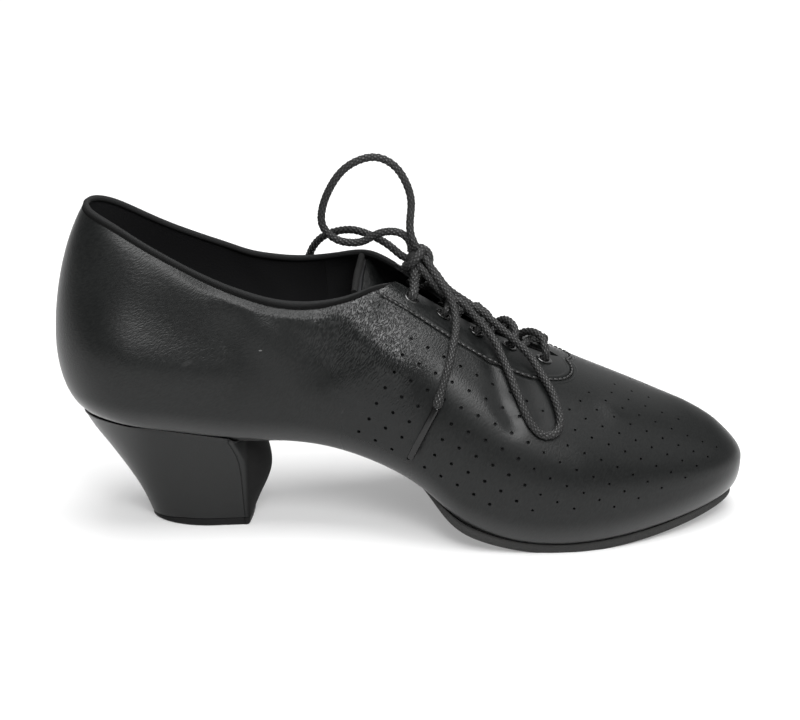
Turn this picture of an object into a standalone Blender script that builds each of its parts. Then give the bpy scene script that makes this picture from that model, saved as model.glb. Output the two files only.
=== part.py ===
"""Ballroom practice shoe for the left foot: a leather lace-up with a block heel and a thin suede sole.

Lengths are millimetres along the last: x from the back of the heel to the toe, y from the middle line
with minus on the inner side, z up from the floor. One empty puts the middle of the footprint at the
world origin, and MM turns millimetres into Blender's metres.
"""

import math

import bmesh
import bpy
import numpy as np

MM = 0.001

# Driving dimensions
LENGTH = 240.0
WALL = 1.6
CLEARANCE = 0.3
HEEL_ROUND = 32.0
TOE_ROUND = 62.0
HEEL_FULLNESS = 2.2
TOE_FULLNESS = 2.1
TOE_SHIFT = 3.0
RIDGE_SHIFT = 2.0
RIDGE_SHIFT_SPAN = (150.0, 220.0)
CORNER = 118.0
THROAT_END = 175.0
LASTING_MARGIN = 8.0
INSOLE_THICKNESS = 1.8
INSOLE_INSET = 4.0
TOP_PIECE = 2.8
TONGUE_THICKNESS = 2.0
TONGUE_GAP = 0.45
LACE_DIAMETER = 2.8
AGLET_DIAMETER = 2.4
AGLET_LENGTH = 17.0

# Sections of the last, square to the middle line. bottom is the feather edge's height, inner and outer
# the half widths at the widest line, belly that line's height over the feather edge, tuck how far the
# feather edge lies inside it, top the ridge's height, lean how much the side falls in above the belly,
# middle how far the section's own middle lies to the outer side: the heel is set at an angle to the toe.
LAST_COLUMNS = "along bottom inner outer belly tuck_inner tuck_outer top lean middle"
LAST_ROWS = [
    (0, 41.6, 28.5, 28.5, 25.9, 11.5, 11.5, 141.0, 1.2, -6.0),
    (15, 42.2, 29.1, 29.1, 23.7, 9.6, 9.6, 139.6, 2.05, -4.9),
    (30, 40.8, 29.5, 29.5, 23.4, 8.0, 8.0, 137.0, 2.6, -3.6),
    (45, 38.4, 29.4, 29.8, 23.7, 7.0, 6.8, 131.5, 2.75, -2.3),
    (60, 36.0, 29.0, 30.0, 24.0, 6.5, 6.0, 124.0, 2.6, -1.2),
    (90, 33.0, 28.5, 33.0, 21.0, 7.5, 7.0, 105.5, 1.4, 0.0),
    (112, 27.0, 31.0, 37.5, 18.0, 7.5, 6.0, 92.5, 0.8, 0.0),
    (132, 16.7, 37.0, 41.5, 17.2, 5.5, 5.0, 79.3, 0.7, 0.0),
    (139, 11.2, 39.3, 42.4, 18.4, 4.7, 4.5, 74.8, 0.71, 0.0),
    (148, 7.2, 41.5, 43.0, 17.8, 4.0, 4.0, 69.6, 0.75, 0.0),
    (166, 3.4, 43.0, 42.0, 17.0, 4.0, 4.0, 61.2, 0.88, 0.0),
    (188, 3.2, 40.5, 39.0, 16.0, 4.0, 4.0, 52.0, 1.0, 0.0),
    (212, 5.2, 35.0, 34.0, 14.0, 4.0, 4.0, 42.3, 1.0, 0.0),
    (240, 10.5, 30.0, 30.0, 10.0, 3.0, 3.0, 28.5, 1.0, 0.0),
]
# Height of the collar's edge behind the throat's corners
COLLAR_COLUMNS = "along inner outer"
COLLAR_ROWS = [
    (0, 116.0, 116.0),
    (12, 112.4, 112.4),
    (30, 104.6, 104.8),
    (55, 93.4, 94.6),
    (80, 85.3, 87.4),
    (92, 85.0, 87.7),
    (100, 86.2, 89.4),
    (106, 87.8, 90.8),
    (111, 88.8, 90.7),
]
# Distance of the throat's edges from the ridge
THROAT_COLUMNS = "along inner outer"
THROAT_ROWS = [
    (108, 10.0, 14.0),
    (118, 8.5, 11.5),
    (128, 7.0, 7.8),
    (140, 5.5, 5.5),
    (152, 4.2, 4.2),
    (165, 3.0, 3.0),
    (172, 2.0, 2.0),
    (175, 0.0, 0.0),
]
# How far the outsole's edge stands out from the feather edge, and the outsole's thickness
SOLE_COLUMNS = "along inner outer thickness"
SOLE_ROWS = [
    (0, -1.5, -1.5, 1.0),
    (50, -1.5, -1.5, 1.0),
    (64, -2.2, -2.0, 1.5),
    (80, -5.0, -4.0, 2.0),
    (110, -8.0, -6.0, 2.2),
    (128, -6.0, -3.6, 2.7),
    (134.5, 0.8, 1.0, 3.1),
    (140, 2.4, 2.0, 3.1),
    (152, 1.6, 1.5, 3.0),
    (170, 1.0, 1.0, 3.0),
    (215, 1.0, 1.0, 3.0),
    (240, -0.4, -0.4, 3.0),
]
# The heel block from its top piece (0) to the seat (1). bulge is how far the breast's middle stands forward.
HEEL_COLUMNS = "share back breast half bulge"
HEEL_ROWS = [
    (0.0, 31.8, 67.0, 16.2, 2.2),
    (0.2, 28.7, 66.6, 16.9, 4.8),
    (0.45, 23.1, 66.2, 18.4, 7.8),
    (0.7, 16.4, 65.5, 20.4, 7.9),
    (0.86, 12.0, 64.2, 21.7, 7.6),
    (1.0, 8.9, 62.0, 22.9, 8.0),
]
# Where along a level the heel is widest, and its breast's width as a share of that
HEEL_FULLEST = 0.62
BREAST_WIDTH = 0.97
# The tongue's half widths, how far it sinks below the last's ridge, and how much of the last's arch is
# levelled out of it. Its free end stands up behind the throat.
TONGUE_COLUMNS = "along inner outer sink level"
TONGUE_ROWS = [
    (104, 15.0, 16.8, 6.2, 1.0),
    (110, 16.5, 17.8, 7.3, 0.95),
    (115, 18.0, 18.5, 9.3, 0.85),
    (120, 19.0, 19.0, 7.6, 0.6),
    (128, 19.0, 19.0, 4.0, 0.35),
    (140, 17.8, 17.8, 1.5, 0.1),
    (150, 17.0, 17.0, 0.5, 0.0),
    (183, 13.0, 13.0, 0.0, 0.0),
]
EYELETS_ALONG = (123.5, 134.5, 146.0, 157.5, 169.5)
EYELET_FROM_EDGE = 5.0
EYELET_HOLE_RADIUS = 2.4
EYELET_FLANGE_RADIUS = 3.2
EYELET_BORE_RADIUS = 1.75
EYELET_BARREL_RADIUS = 2.1

# The bow. Free stretches are x, y, z; stretches that lie on the inner side are along, turn, lift, with
# turn 0 at the widest line and 1 at the ridge, and lift the height of the lace's middle over the leather.
KNOT_PLACE = (126.0, 0.5, 92.5)
KNOT_RADII = (4.8, 4.0, 4.8)
KNOT_EXITS = {
    "riser_inner": (-0.55, -0.6, -0.58),
    "riser_outer": (-0.55, 0.6, -0.58),
    "standing_rise": (-0.15, 0.1, 1.0),
    "standing_return": (-0.85, 0.25, 0.6),
    "far_end": (-0.92, 0.55, 0.02),
    "side_loop_low": (0.8, -0.5, -0.35),
    "side_loop_high": (0.75, -0.15, 0.62),
    "side_end": (0.2, -0.68, -0.68),
}
STANDING_LOOP = [
    (123.5, 3.5, 105.0),
    (123.2, 5.0, 112.5),
    (121.2, 6.0, 119.5),
    (117.5, 7.0, 124.7),
    (111.0, 8.0, 127.6),
    (105.3, 8.0, 126.6),
    (100.0, 8.0, 123.3),
    (95.0, 8.0, 116.3),
    (92.2, 8.0, 108.7),
    (92.8, 7.0, 102.0),
    (96.7, 6.0, 97.4),
    (102.0, 5.0, 95.6),
    (108.5, 4.0, 97.8),
    (114.2, 3.0, 99.6),
    (118.6, 2.4, 98.4),
]
FAR_END = [
    (116.2, 6.0, 95.0),
    (109.0, 10.0, 97.6),
    (102.5, 13.5, 97.8),
    (96.5, 18.0, 95.4),
    (91.5, 22.5, 92.4),
    (88.0, 27.0, 87.4),
    (85.8, 30.6, 80.0),
    (84.4, 33.4, 71.0),
    (83.4, 35.2, 61.0),
]
SIDE_LOOP = [
    (134.5, 0.96, 6.5),
    (140.0, 0.945, 6.4),
    (145.5, 0.93, 5.9),
    (149.5, 0.865, 4.6),
    (152.4, 0.79, 2.4),
    (154.5, 0.73, 1.7),
    (156.5, 0.65, 1.7),
    (158.5, 0.58, 1.7),
    (160.3, 0.52, 1.7),
    (162.0, 0.45, 1.7),
    (165.5, 0.39, 1.7),
    (170.0, 0.365, 1.7),
    (173.2, 0.42, 1.7),
    (173.6, 0.51, 1.7),
    (172.3, 0.59, 1.7),
    (170.5, 0.66, 1.7),
    (168.0, 0.72, 1.8),
    (165.3, 0.79, 2.6),
    (161.8, 0.86, 4.3),
    (157.5, 0.895, 5.8),
    (152.5, 0.91, 7.0),
    (146.5, 0.91, 8.3),
    (140.5, 0.92, 9.2),
    (135.0, 0.935, 9.6),
]
SIDE_END = [
    (131.0, 0.93, 5.4),
    (134.5, 0.915, 5.7),
    (136.7, 0.89, 4.5),
    (137.5, 0.85, 2.8),
    (137.7, 0.80, 1.9),
    (137.5, 0.73, 1.7),
    (137.0, 0.64, 1.7),
    (136.4, 0.55, 1.7),
    (135.4, 0.47, 1.7),
    (134.0, 0.38, 1.7),
    (132.2, 0.30, 1.8),
    (130.2, 0.215, 2.0),
]
SIDE_TIP = (124.2, -0.2, 2.4)
FAR_TIP = (82.0, 37.6, 44.0)

# Resolution
HEEL_STEPS = 7
QUARTER_STEPS = 9
THROAT_STEPS = 10
TOE_STEPS = 10
LOWER_STEPS = 4
UPPER_STEPS = 8
SMALL_STEP = 0.01


# Curves and tables


def columns(names, rows):
    """A table's rows as one array for each named column."""
    return dict(zip(names.split(), np.array(rows, float).T))


def spline(at, xs, ys):
    """The natural cubic spline through a column's values, as a batten bent through them."""
    xs, ys, at = (np.asarray(values, float) for values in (xs, ys, at))
    count, gaps = len(xs), np.diff(xs)
    matrix, right = np.eye(count), np.zeros(count)
    for i in range(1, count - 1):
        matrix[i, i - 1 : i + 2] = gaps[i - 1], 2 * (gaps[i - 1] + gaps[i]), gaps[i]
        right[i] = 6 * ((ys[i + 1] - ys[i]) / gaps[i] - (ys[i] - ys[i - 1]) / gaps[i - 1])
    bend = np.linalg.solve(matrix, right)
    k = np.clip(np.searchsorted(xs, at) - 1, 0, count - 2)
    t, gap = at - xs[k], gaps[k]
    slope = (ys[k + 1] - ys[k]) / gap - gap * (2 * bend[k] + bend[k + 1]) / 6
    return ys[k] + slope * t + bend[k] / 2 * t**2 + (bend[k + 1] - bend[k]) / (6 * gap) * t**3


LAST = columns(LAST_COLUMNS, LAST_ROWS)
COLLAR = columns(COLLAR_COLUMNS, COLLAR_ROWS)
THROAT = columns(THROAT_COLUMNS, THROAT_ROWS)
SOLE = columns(SOLE_COLUMNS, SOLE_ROWS)
HEEL = columns(HEEL_COLUMNS, HEEL_ROWS)
TONGUE = columns(TONGUE_COLUMNS, TONGUE_ROWS)


def last(name, x):
    return spline(x, LAST["along"], LAST[name])


def sided(table, x, side, prefix=""):
    """A table's inner or outer column at x, by the side's sign."""
    inner = spline(x, table["along"], table[prefix + "inner"])
    outer = spline(x, table["along"], table[prefix + "outer"])
    return np.where(side < 0, inner, outer)


def smooth_curve(points, step):
    """Points about step apart along the spline through a route's own points."""
    points = np.array(points, float)
    run = np.concatenate([[0.0], np.cumsum(np.linalg.norm(np.diff(points, axis=0), axis=1))])
    at = np.linspace(0, run[-1], max(int(round(run[-1] / step)), 3) + 1)
    return np.stack([spline(at, run, points[:, i]) for i in range(3)], -1)


# The last's surface


def soft_ramp(distance, ease):
    """Nothing below zero, then a line that starts gently."""
    distance = np.maximum(distance, 0)
    return distance**2 / (distance + ease)


def ridge_along(x):
    """Where a section's ridge lies: sections fan out round the toe and round the heel."""
    toe_focus, toe_fan = LENGTH - 54, 0.62
    heel_focus, heel_fan = 62.0, 0.74
    ease = 14.0
    return x - toe_fan * soft_ramp(x - toe_focus, ease) + heel_fan * soft_ramp(heel_focus - x, ease)


def widest_line(x, side):
    """The y of the widest line, with both ends rounded off."""
    heel = np.clip((HEEL_ROUND - x) / HEEL_ROUND, 0, 1)
    toe = np.clip((x - (LENGTH - TOE_ROUND)) / TOE_ROUND, 0, 1)
    ends = np.sqrt(1 - heel**HEEL_FULLNESS) * np.sqrt(1 - toe**TOE_FULLNESS)
    return side * sided(LAST, x, side) * ends + TOE_SHIFT * toe**2 + last("middle", x)


def section(x, side):
    """The named sizes of the section at x on one side."""
    x_ridge = ridge_along(x)
    y_ridge = np.interp(x_ridge, RIDGE_SHIFT_SPAN, (0.0, RIDGE_SHIFT)) + last("middle", x_ridge)
    y_wide = widest_line(x, side)
    toward = np.stack([x_ridge - x, y_ridge - y_wide], -1)
    toward = toward / np.linalg.norm(toward, axis=-1, keepdims=True)
    tuck = sided(LAST, x, side, "tuck_")
    x_feather = x + toward[..., 0] * tuck
    z_feather = last("bottom", x_feather)
    z_wide = z_feather + last("belly", x)
    z_ridge = last("top", x_ridge)
    slope = last("top", x_ridge + 0.5) - last("top", x_ridge - 0.5)
    slope = np.where(x > CORNER, slope, 0.0)
    return {
        "ridge": (x_ridge, y_ridge, z_ridge),
        "wide": (x, y_wide, z_wide),
        "feather": (x_feather, y_wide + toward[..., 1] * tuck, z_feather),
        "toward": toward,
        "tuck": tuck,
        "slope": slope,
        "rise": z_ridge + slope * (x - x_ridge) - z_wide,
        "lean": last("lean", x),
    }


def surface(x, side, turn):
    """The leather's outer face. turn is -1 at the feather edge, 0 at the widest line and 1 at the ridge."""
    x, side, turn = np.broadcast_arrays(*(np.asarray(v, float) for v in (x, side, turn)))
    s = section(x, side)
    (x_ridge, y_ridge, z_ridge), (_, y_wide, z_wide) = s["ridge"], s["wide"]
    up = np.clip(turn, 0, 1) * math.pi / 2
    x_up = x_ridge + (x - x_ridge) * np.cos(up)
    y_up = y_ridge + (y_wide - y_ridge) * np.abs(np.cos(up)) ** s["lean"]
    z_up = z_ridge + s["slope"] * (x_up - x_ridge) - s["rise"] * (1 - np.sin(up))
    down = np.clip(-turn, 0, 1) * math.pi / 2
    inset = s["tuck"] * (1 - np.cos(down))
    x_down = x + s["toward"][..., 0] * inset
    y_down = y_wide + s["toward"][..., 1] * inset
    z_down = z_wide - (z_wide - s["feather"][2]) * np.sin(down)
    above = turn >= 0
    return np.stack(
        [np.where(above, x_up, x_down), np.where(above, y_up, y_down), np.where(above, z_up, z_down)], -1
    )


def normal(x, side, turn):
    """The unit vector out of the leather's face."""
    x, side, turn = (np.asarray(v, float) for v in (x, side, turn))
    along = surface(x + SMALL_STEP, side, turn) - surface(x - SMALL_STEP, side, turn)
    over = surface(x, side, np.minimum(turn + SMALL_STEP, 1)) - surface(x, side, turn - SMALL_STEP)
    out = -np.cross(along, over) * side[..., None]
    return out / np.linalg.norm(out, axis=-1, keepdims=True)


def turn_at(x, side, from_ridge):
    """The turn at which the face lies from_ridge to the side of the ridge."""
    s = section(np.asarray(x, float), side)
    width = np.maximum(np.abs(s["wide"][1] - s["ridge"][1]), from_ridge + 1e-6)
    return np.arccos((from_ridge / width) ** (1 / s["lean"])) / (math.pi / 2)


def collar_turn(x, side):
    """The turn at which the collar's edge lies; at the corner it meets the throat's edge."""
    corner = [surface(CORNER, s, turn_at(CORNER, s, throat_edge(CORNER, s)))[2] for s in (-1, 1)]
    rows = {"along": np.append(COLLAR["along"], CORNER)}
    rows["inner"] = np.append(COLLAR["inner"], corner[0])
    rows["outer"] = np.append(COLLAR["outer"], corner[1])
    s = section(x, side)
    below = s["ridge"][2] - sided(rows, x, side)
    return np.arcsin(1 - below / s["rise"]) / (math.pi / 2)


def throat_edge(x, side):
    return np.maximum(sided(THROAT, np.asarray(x, float), side), 0.0)


def top_turn(x, side):
    """The turn of the upper's top edge: collar, throat, or the closed ridge in front of it."""
    if x < CORNER:
        return collar_turn(np.float64(x), side)
    if x < THROAT_END:
        return turn_at(x, side, throat_edge(x, side))
    return 1.0


def stations():
    """Places along the last, close together round heel and toe, with both ends of the throat among them."""
    heel = HEEL_ROUND * (1 - np.cos(np.linspace(0, math.pi / 2, HEEL_STEPS + 1)))
    quarter = np.linspace(HEEL_ROUND, CORNER, QUARTER_STEPS + 1)[1:]
    throat = np.linspace(CORNER, THROAT_END, THROAT_STEPS + 1)[1:]
    toe = LENGTH - TOE_ROUND * (1 - np.cos(np.linspace(math.pi / 2, 0, TOE_STEPS + 1)))
    return np.concatenate([heel, quarter, throat, toe])


def loop_round():
    """The stations once round the foot: toe, inner side, heel, outer side."""
    x = stations()
    sides = np.concatenate([-np.ones(len(x)), np.ones(len(x) - 2)])
    return np.concatenate([x[::-1], x[1:-1]]), sides


# Making objects


def material(name, colour, roughness, metallic=0.0):
    made = bpy.data.materials.new(name)
    made.use_nodes = True
    made.diffuse_color = (*colour, 1.0)
    shader = made.node_tree.nodes["Principled BSDF"]
    shader.inputs["Base Color"].default_value = (*colour, 1.0)
    shader.inputs["Roughness"].default_value = roughness
    shader.inputs["Metallic"].default_value = metallic
    return made


def place(name, data, finish, footprint):
    made = bpy.data.objects.new(name, data)
    made.data.materials.append(finish)
    bpy.context.collection.objects.link(made)
    made.parent = footprint
    return made


def mesh_of(name, points, faces):
    """A closed mesh in metres from points in millimetres, welded and facing out."""
    work = bmesh.new()
    corners = [work.verts.new(tuple(point)) for point in np.asarray(points, float) * MM]
    for face in faces:
        work.faces.new([corners[i] for i in face])
    bmesh.ops.remove_doubles(work, verts=work.verts, dist=0.001 * MM)
    bmesh.ops.recalc_face_normals(work, faces=work.faces)
    mesh = bpy.data.meshes.new(name)
    work.to_mesh(mesh)
    work.free()
    mesh.shade_smooth()
    mesh.set_sharp_from_angle(angle=math.radians(40))
    return mesh


def grid_faces(rows, across, closed, start=0):
    """Quads of a grid stored row after row; closed joins the last column to the first."""
    quads = []
    for i in range(rows - 1):
        for j in range(across if closed else across - 1):
            k = (j + 1) % across
            quads.append([start + i * across + j, start + i * across + k, start + (i + 1) * across + k,
                          start + (i + 1) * across + j])
    return quads


def slab(name, above, below):
    """A closed sheet between two open grids of the same shape, rows by columns."""
    rows, across = above.shape[:2]
    count = rows * across
    faces = grid_faces(rows, across, False) + grid_faces(rows, across, False, count)
    edge = [(0, j) for j in range(across)] + [(i, across - 1) for i in range(1, rows)]
    edge += [(rows - 1, j) for j in range(across - 2, -1, -1)] + [(i, 0) for i in range(rows - 2, 0, -1)]
    ring = [i * across + j for i, j in edge]
    for a, b in zip(ring, ring[1:] + ring[:1]):
        faces.append([a, b, count + b, count + a])
    return mesh_of(name, np.concatenate([above.reshape(-1, 3), below.reshape(-1, 3)]), faces)


def lofted(name, rings):
    """A closed body through rings of the same count, with its two end rings filled."""
    rings = np.asarray(rings)
    levels, around = rings.shape[:2]
    faces = grid_faces(levels, around, True)
    faces.append(list(range(around)))
    faces.append(list(range((levels - 1) * around, levels * around)))
    return mesh_of(name, rings.reshape(-1, 3), faces)


def circle(centre, axis, radius, height, segments=12):
    """Points of a circle square to an axis, at a height along it."""
    across = np.cross(axis, (0.0, 1.0, 0.0))
    across /= np.linalg.norm(across)
    angles = np.linspace(0, 2 * math.pi, segments, endpoint=False)[:, None]
    around = np.cos(angles) * across + np.sin(angles) * np.cross(axis, across)
    return centre + height * axis + radius * around


def turned(name, profile, centre, axis):
    """A ring turned about an axis from a closed profile of radius and height."""
    rings = np.stack([circle(centre, axis, radius, height) for radius, height in [*profile, profile[0]]])
    return mesh_of(name, rings.reshape(-1, 3), grid_faces(*rings.shape[:2], True))


def cord(name, points, diameter):
    """A round cord with filled ends along points in millimetres."""
    curve = bpy.data.curves.new(name, "CURVE")
    curve.dimensions = "3D"
    curve.bevel_depth = diameter / 2 * MM
    curve.bevel_resolution = 2
    curve.use_fill_caps = True
    run = curve.splines.new("POLY")
    run.points.add(len(points) - 1)
    for spot, point in zip(run.points, points):
        spot.co = (*(np.asarray(point) * MM), 1.0)
    return curve


# Pieces


def upper_grid():
    """Outer and inner faces of the leather as grids of rows by stations, and which stations are closed."""
    x, side = loop_round()
    top = np.array([top_turn(a, b) for a, b in zip(x, side)])
    lower = np.linspace(-1, 0, LOWER_STEPS + 1)
    upper = np.linspace(0, 1, UPPER_STEPS + 1)[1:]
    rows = [surface(x, side, turn) for turn in lower] + [surface(x, side, turn * top) for turn in upper]
    outside = np.stack(rows)
    along = np.roll(outside, -1, axis=1) - np.roll(outside, 1, axis=1)
    over = np.gradient(outside, axis=0)
    out = np.cross(over, along)
    out /= np.linalg.norm(out, axis=-1, keepdims=True)
    closed = top >= 1.0
    for index in np.flatnonzero(closed):
        pair = np.flatnonzero((x == x[index]) & (side != side[index]))
        shared = out[-1, index] + (out[-1, pair[0]] if len(pair) else 0)
        shared[1] = shared[1] if len(pair) else 0.0
        out[-1, [index, *pair]] = shared / np.linalg.norm(shared)
    inside = outside - WALL * out
    toward = section(x, side)["toward"]
    inside[0] = outside[0] + WALL * np.concatenate([toward, np.ones((len(x), 1))], -1)
    margin = outside[0].copy()
    margin[:, :2] += LASTING_MARGIN * toward
    margin[:, 2] = last("bottom", margin[:, 0])
    margin_inside = margin + np.array([0.0, 0.0, WALL])
    return np.concatenate([margin[None], outside]), np.concatenate([margin_inside[None], inside]), closed


def upper_mesh():
    outside, inside, closed = upper_grid()
    rows, around = outside.shape[:2]
    count = rows * around
    faces = grid_faces(rows, around, True) + grid_faces(rows, around, True, count)
    top = (rows - 1) * around
    for j in range(around):
        k = (j + 1) % around
        faces.append([j, k, count + k, count + j])
        if not (closed[j] and closed[k]):
            faces.append([top + j, top + k, count + top + k, count + top + j])
    return mesh_of("upper", np.concatenate([outside.reshape(-1, 3), inside.reshape(-1, 3)]), faces)


def eyelet_seats():
    """Each eyelet's name, its place on the leather and the direction out of it."""
    seats = []
    for side, word in ((-1, "inner"), (1, "outer")):
        for number, x in enumerate(EYELETS_ALONG, 1):
            turn = turn_at(x, side, throat_edge(x, side) + EYELET_FROM_EDGE)
            seats.append((f"{word}_{number}", surface(x, side, turn), normal(x, side, turn)))
    return seats


def hole_cutters(seats, footprint):
    """One helper mesh of short rods that cut the eyelets' holes."""
    work = bmesh.new()
    mesh = bpy.data.meshes.new("eyelet_holes")
    for _, centre, axis in seats:
        ends = [circle(centre, axis, EYELET_HOLE_RADIUS, height) for height in (-2 * WALL, 2 * WALL)]
        rod = lofted("rod", ends)
        work.from_mesh(rod)
        bpy.data.meshes.remove(rod)
    work.to_mesh(mesh)
    work.free()
    helper = bpy.data.objects.new("eyelet_holes", mesh)
    bpy.context.collection.objects.link(helper)
    helper.parent = footprint
    helper.hide_render = True
    helper.display_type = "WIRE"
    return helper


def eyelet_mesh(name, centre, axis):
    foot, seat, crown = -WALL + 0.1, CLEARANCE + 0.05, CLEARANCE + 0.55
    profile = [
        (EYELET_BORE_RADIUS, foot),
        (EYELET_BARREL_RADIUS, foot),
        (EYELET_BARREL_RADIUS, seat),
        (EYELET_FLANGE_RADIUS, seat),
        (EYELET_FLANGE_RADIUS - 0.4, crown),
        (EYELET_BORE_RADIUS, crown),
    ]
    return turned(name, profile, centre, axis)


def footbed(name, grow_inner, grow_outer, height, thickness, floor=None):
    """A layer that follows the feather edge, grown or shrunk, its top at a height over the bottom line."""
    x = stations()
    edges = []
    for side, grow in ((-1, grow_inner), (1, grow_outer)):
        s = section(x, side)
        edge = np.stack(s["feather"], -1)
        edge[:, :2] -= s["toward"] * np.asarray(grow)[..., None]
        edges.append(edge)
    middle = (edges[0] + edges[1]) / 2
    above = np.stack([edges[0], middle, edges[1]], 1)
    above[..., 2] = last("bottom", above[..., 0]) + height
    below = above.copy()
    below[..., 2] -= np.asarray(thickness)[:, None]
    if floor is not None:
        below[..., 2] = np.maximum(below[..., 2], floor)
    return slab(name, above, below)


def outsole_mesh():
    x = stations()
    grow = {word: spline(x, SOLE["along"], SOLE[word]) for word in ("inner", "outer", "thickness")}
    return footbed("outsole", grow["inner"], grow["outer"], -CLEARANCE, grow["thickness"], 0.0)


def insole_mesh():
    inset = np.full(len(stations()), -INSOLE_INSET)
    height = WALL + 2 * CLEARANCE + INSOLE_THICKNESS
    return footbed("insole", inset, inset, height, np.full(len(inset), INSOLE_THICKNESS))


def heel_outline(back, breast, half, bulge):
    """One level of the heel: a round back, straight sides and a breast that stands forward in the middle."""
    fullest = back + HEEL_FULLEST * (breast - back)
    outline = []
    for angle in np.radians(np.linspace(-90, 90, 15)):
        outline.append((fullest - (fullest - back) * math.cos(angle), half * math.sin(angle)))
    for share in np.linspace(1, -1, 7):
        outline.append((breast + bulge * (1 - share**2), half * BREAST_WIDTH * share))
    return np.array(outline)


def heel_rings(shares, top_of):
    """Rings of the heel at shares of its height; top_of gives the seat's height over each point."""
    foot = TOP_PIECE + CLEARANCE
    rings = []
    for share in shares:
        row = [spline(share, HEEL["share"], HEEL[word]) for word in ("back", "breast", "half", "bulge")]
        flat = heel_outline(*row)
        flat[:, 1] += last("middle", flat[:, 0])
        z = foot + share * (top_of(flat[:, 0]) - foot)
        rings.append(np.column_stack([flat, z]))
    return rings


def heel_mesh():
    def seat(x):
        return last("bottom", x) - spline(x, SOLE["along"], SOLE["thickness"]) - 2.6 * CLEARANCE

    return lofted("heel_block", heel_rings(np.linspace(0, 1, 8), seat))


def top_piece_mesh():
    rim = heel_rings([0.0], lambda x: x)[0]
    centre = rim.mean(0)
    rings = []
    for height, size in ((0.0, 0.95), (0.8, 1.0), (TOP_PIECE, 1.0)):
        ring = centre + (rim - centre) * size
        ring[:, 2] = height
        rings.append(ring)
    return lofted("heel_top_piece", rings)


def tongue_face(count, across):
    """The tongue's upper face as a grid of rows by columns, and the directions out of it."""
    x = np.linspace(TONGUE["along"][0], TONGUE["along"][-1], count)
    sink, level = (np.maximum(spline(x, TONGUE["along"], TONGUE[word]), 0) for word in ("sink", "level"))
    strips = []
    for share in np.linspace(-1, 1, across):
        sides = np.full(len(x), -1.0 if share < 0 else 1.0)
        face = surface(x, sides, turn_at(x, sides, np.abs(share) * sided(TONGUE, x, sides)))
        ridge = section(x, sides)["ridge"][2]
        face[:, 2] = ridge - sink - (1 - level) * (ridge - face[:, 2])
        strips.append(face)
    face = np.stack(strips, 1)
    out = np.cross(np.gradient(face, axis=0), np.gradient(face, axis=1))
    out /= np.linalg.norm(out, axis=-1, keepdims=True)
    return face - (WALL + TONGUE_GAP) * out, out


def tongue_mesh():
    above, out = tongue_face(18, 9)
    return slab("tongue", above, above - TONGUE_THICKNESS * out)


def lace_bar(inner, outer):
    """One bar of the lace: out of an inner eyelet, over the throat and into the outer eyelet."""
    (_, start, start_axis), (_, end, end_axis) = inner, outer
    sink, brim, stand, crown = -0.5, 0.8, 2.2, 4.4
    across = end - start
    up = np.array([0.0, 0.0, 1.0])
    route = [start + height * start_axis for height in (sink, brim, stand)]
    for share, lift in ((0.1, 0.72), (0.3, 0.97), (0.5, 1.0), (0.7, 0.97), (0.9, 0.72)):
        route.append(start + share * across + crown * lift * up)
    route += [end + height * end_axis for height in (stand, brim, sink)]
    return smooth_curve(route, LACE_DIAMETER)


def knot_exit(name):
    """The first two points of a strand that leaves the knot square to its face."""
    direction = np.array(KNOT_EXITS[name])
    flank = direction / np.linalg.norm(direction)
    start = np.array(KNOT_PLACE) + np.array(KNOT_RADII) * flank
    away = flank / np.array(KNOT_RADII)
    away /= np.linalg.norm(away)
    return [start + step * away for step in (1.3 * CLEARANCE, LACE_DIAMETER)]


def lace_riser(seat, name):
    """The lace from a top eyelet up to the knot."""
    _, start, axis = seat
    knot, lead = knot_exit(name)
    route = [start + height * axis for height in (-0.5, 0.8, 1.8)]
    route += [(start + 4.5 * axis + lead) / 2, lead, knot]
    return smooth_curve(route, LACE_DIAMETER)


def on_leather(rows):
    """Points of a route that lies on the inner side."""
    return [surface(x, -1, turn) + lift * normal(x, -1, turn) for x, turn, lift in rows]


def knot_mesh():
    work = bmesh.new()
    bmesh.ops.create_icosphere(work, subdivisions=2, radius=1.0)
    for vert in work.verts:
        vert.co = [(c + r * v) * MM for c, r, v in zip(KNOT_PLACE, KNOT_RADII, vert.co)]
    mesh = bpy.data.meshes.new("lace_knot")
    work.to_mesh(mesh)
    work.free()
    mesh.shade_smooth()
    return mesh


def tipped(route, toward):
    """A lace end as its cord, and its aglet that points toward a place, with the clearance between them."""
    points = smooth_curve(route, 1.6 * LACE_DIAMETER)
    heading = np.asarray(toward) - points[-1]
    heading /= np.linalg.norm(heading)
    start = points[-1] + 2 * CLEARANCE * heading
    return points, np.linspace(start, start + AGLET_LENGTH * heading, 3)


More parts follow.
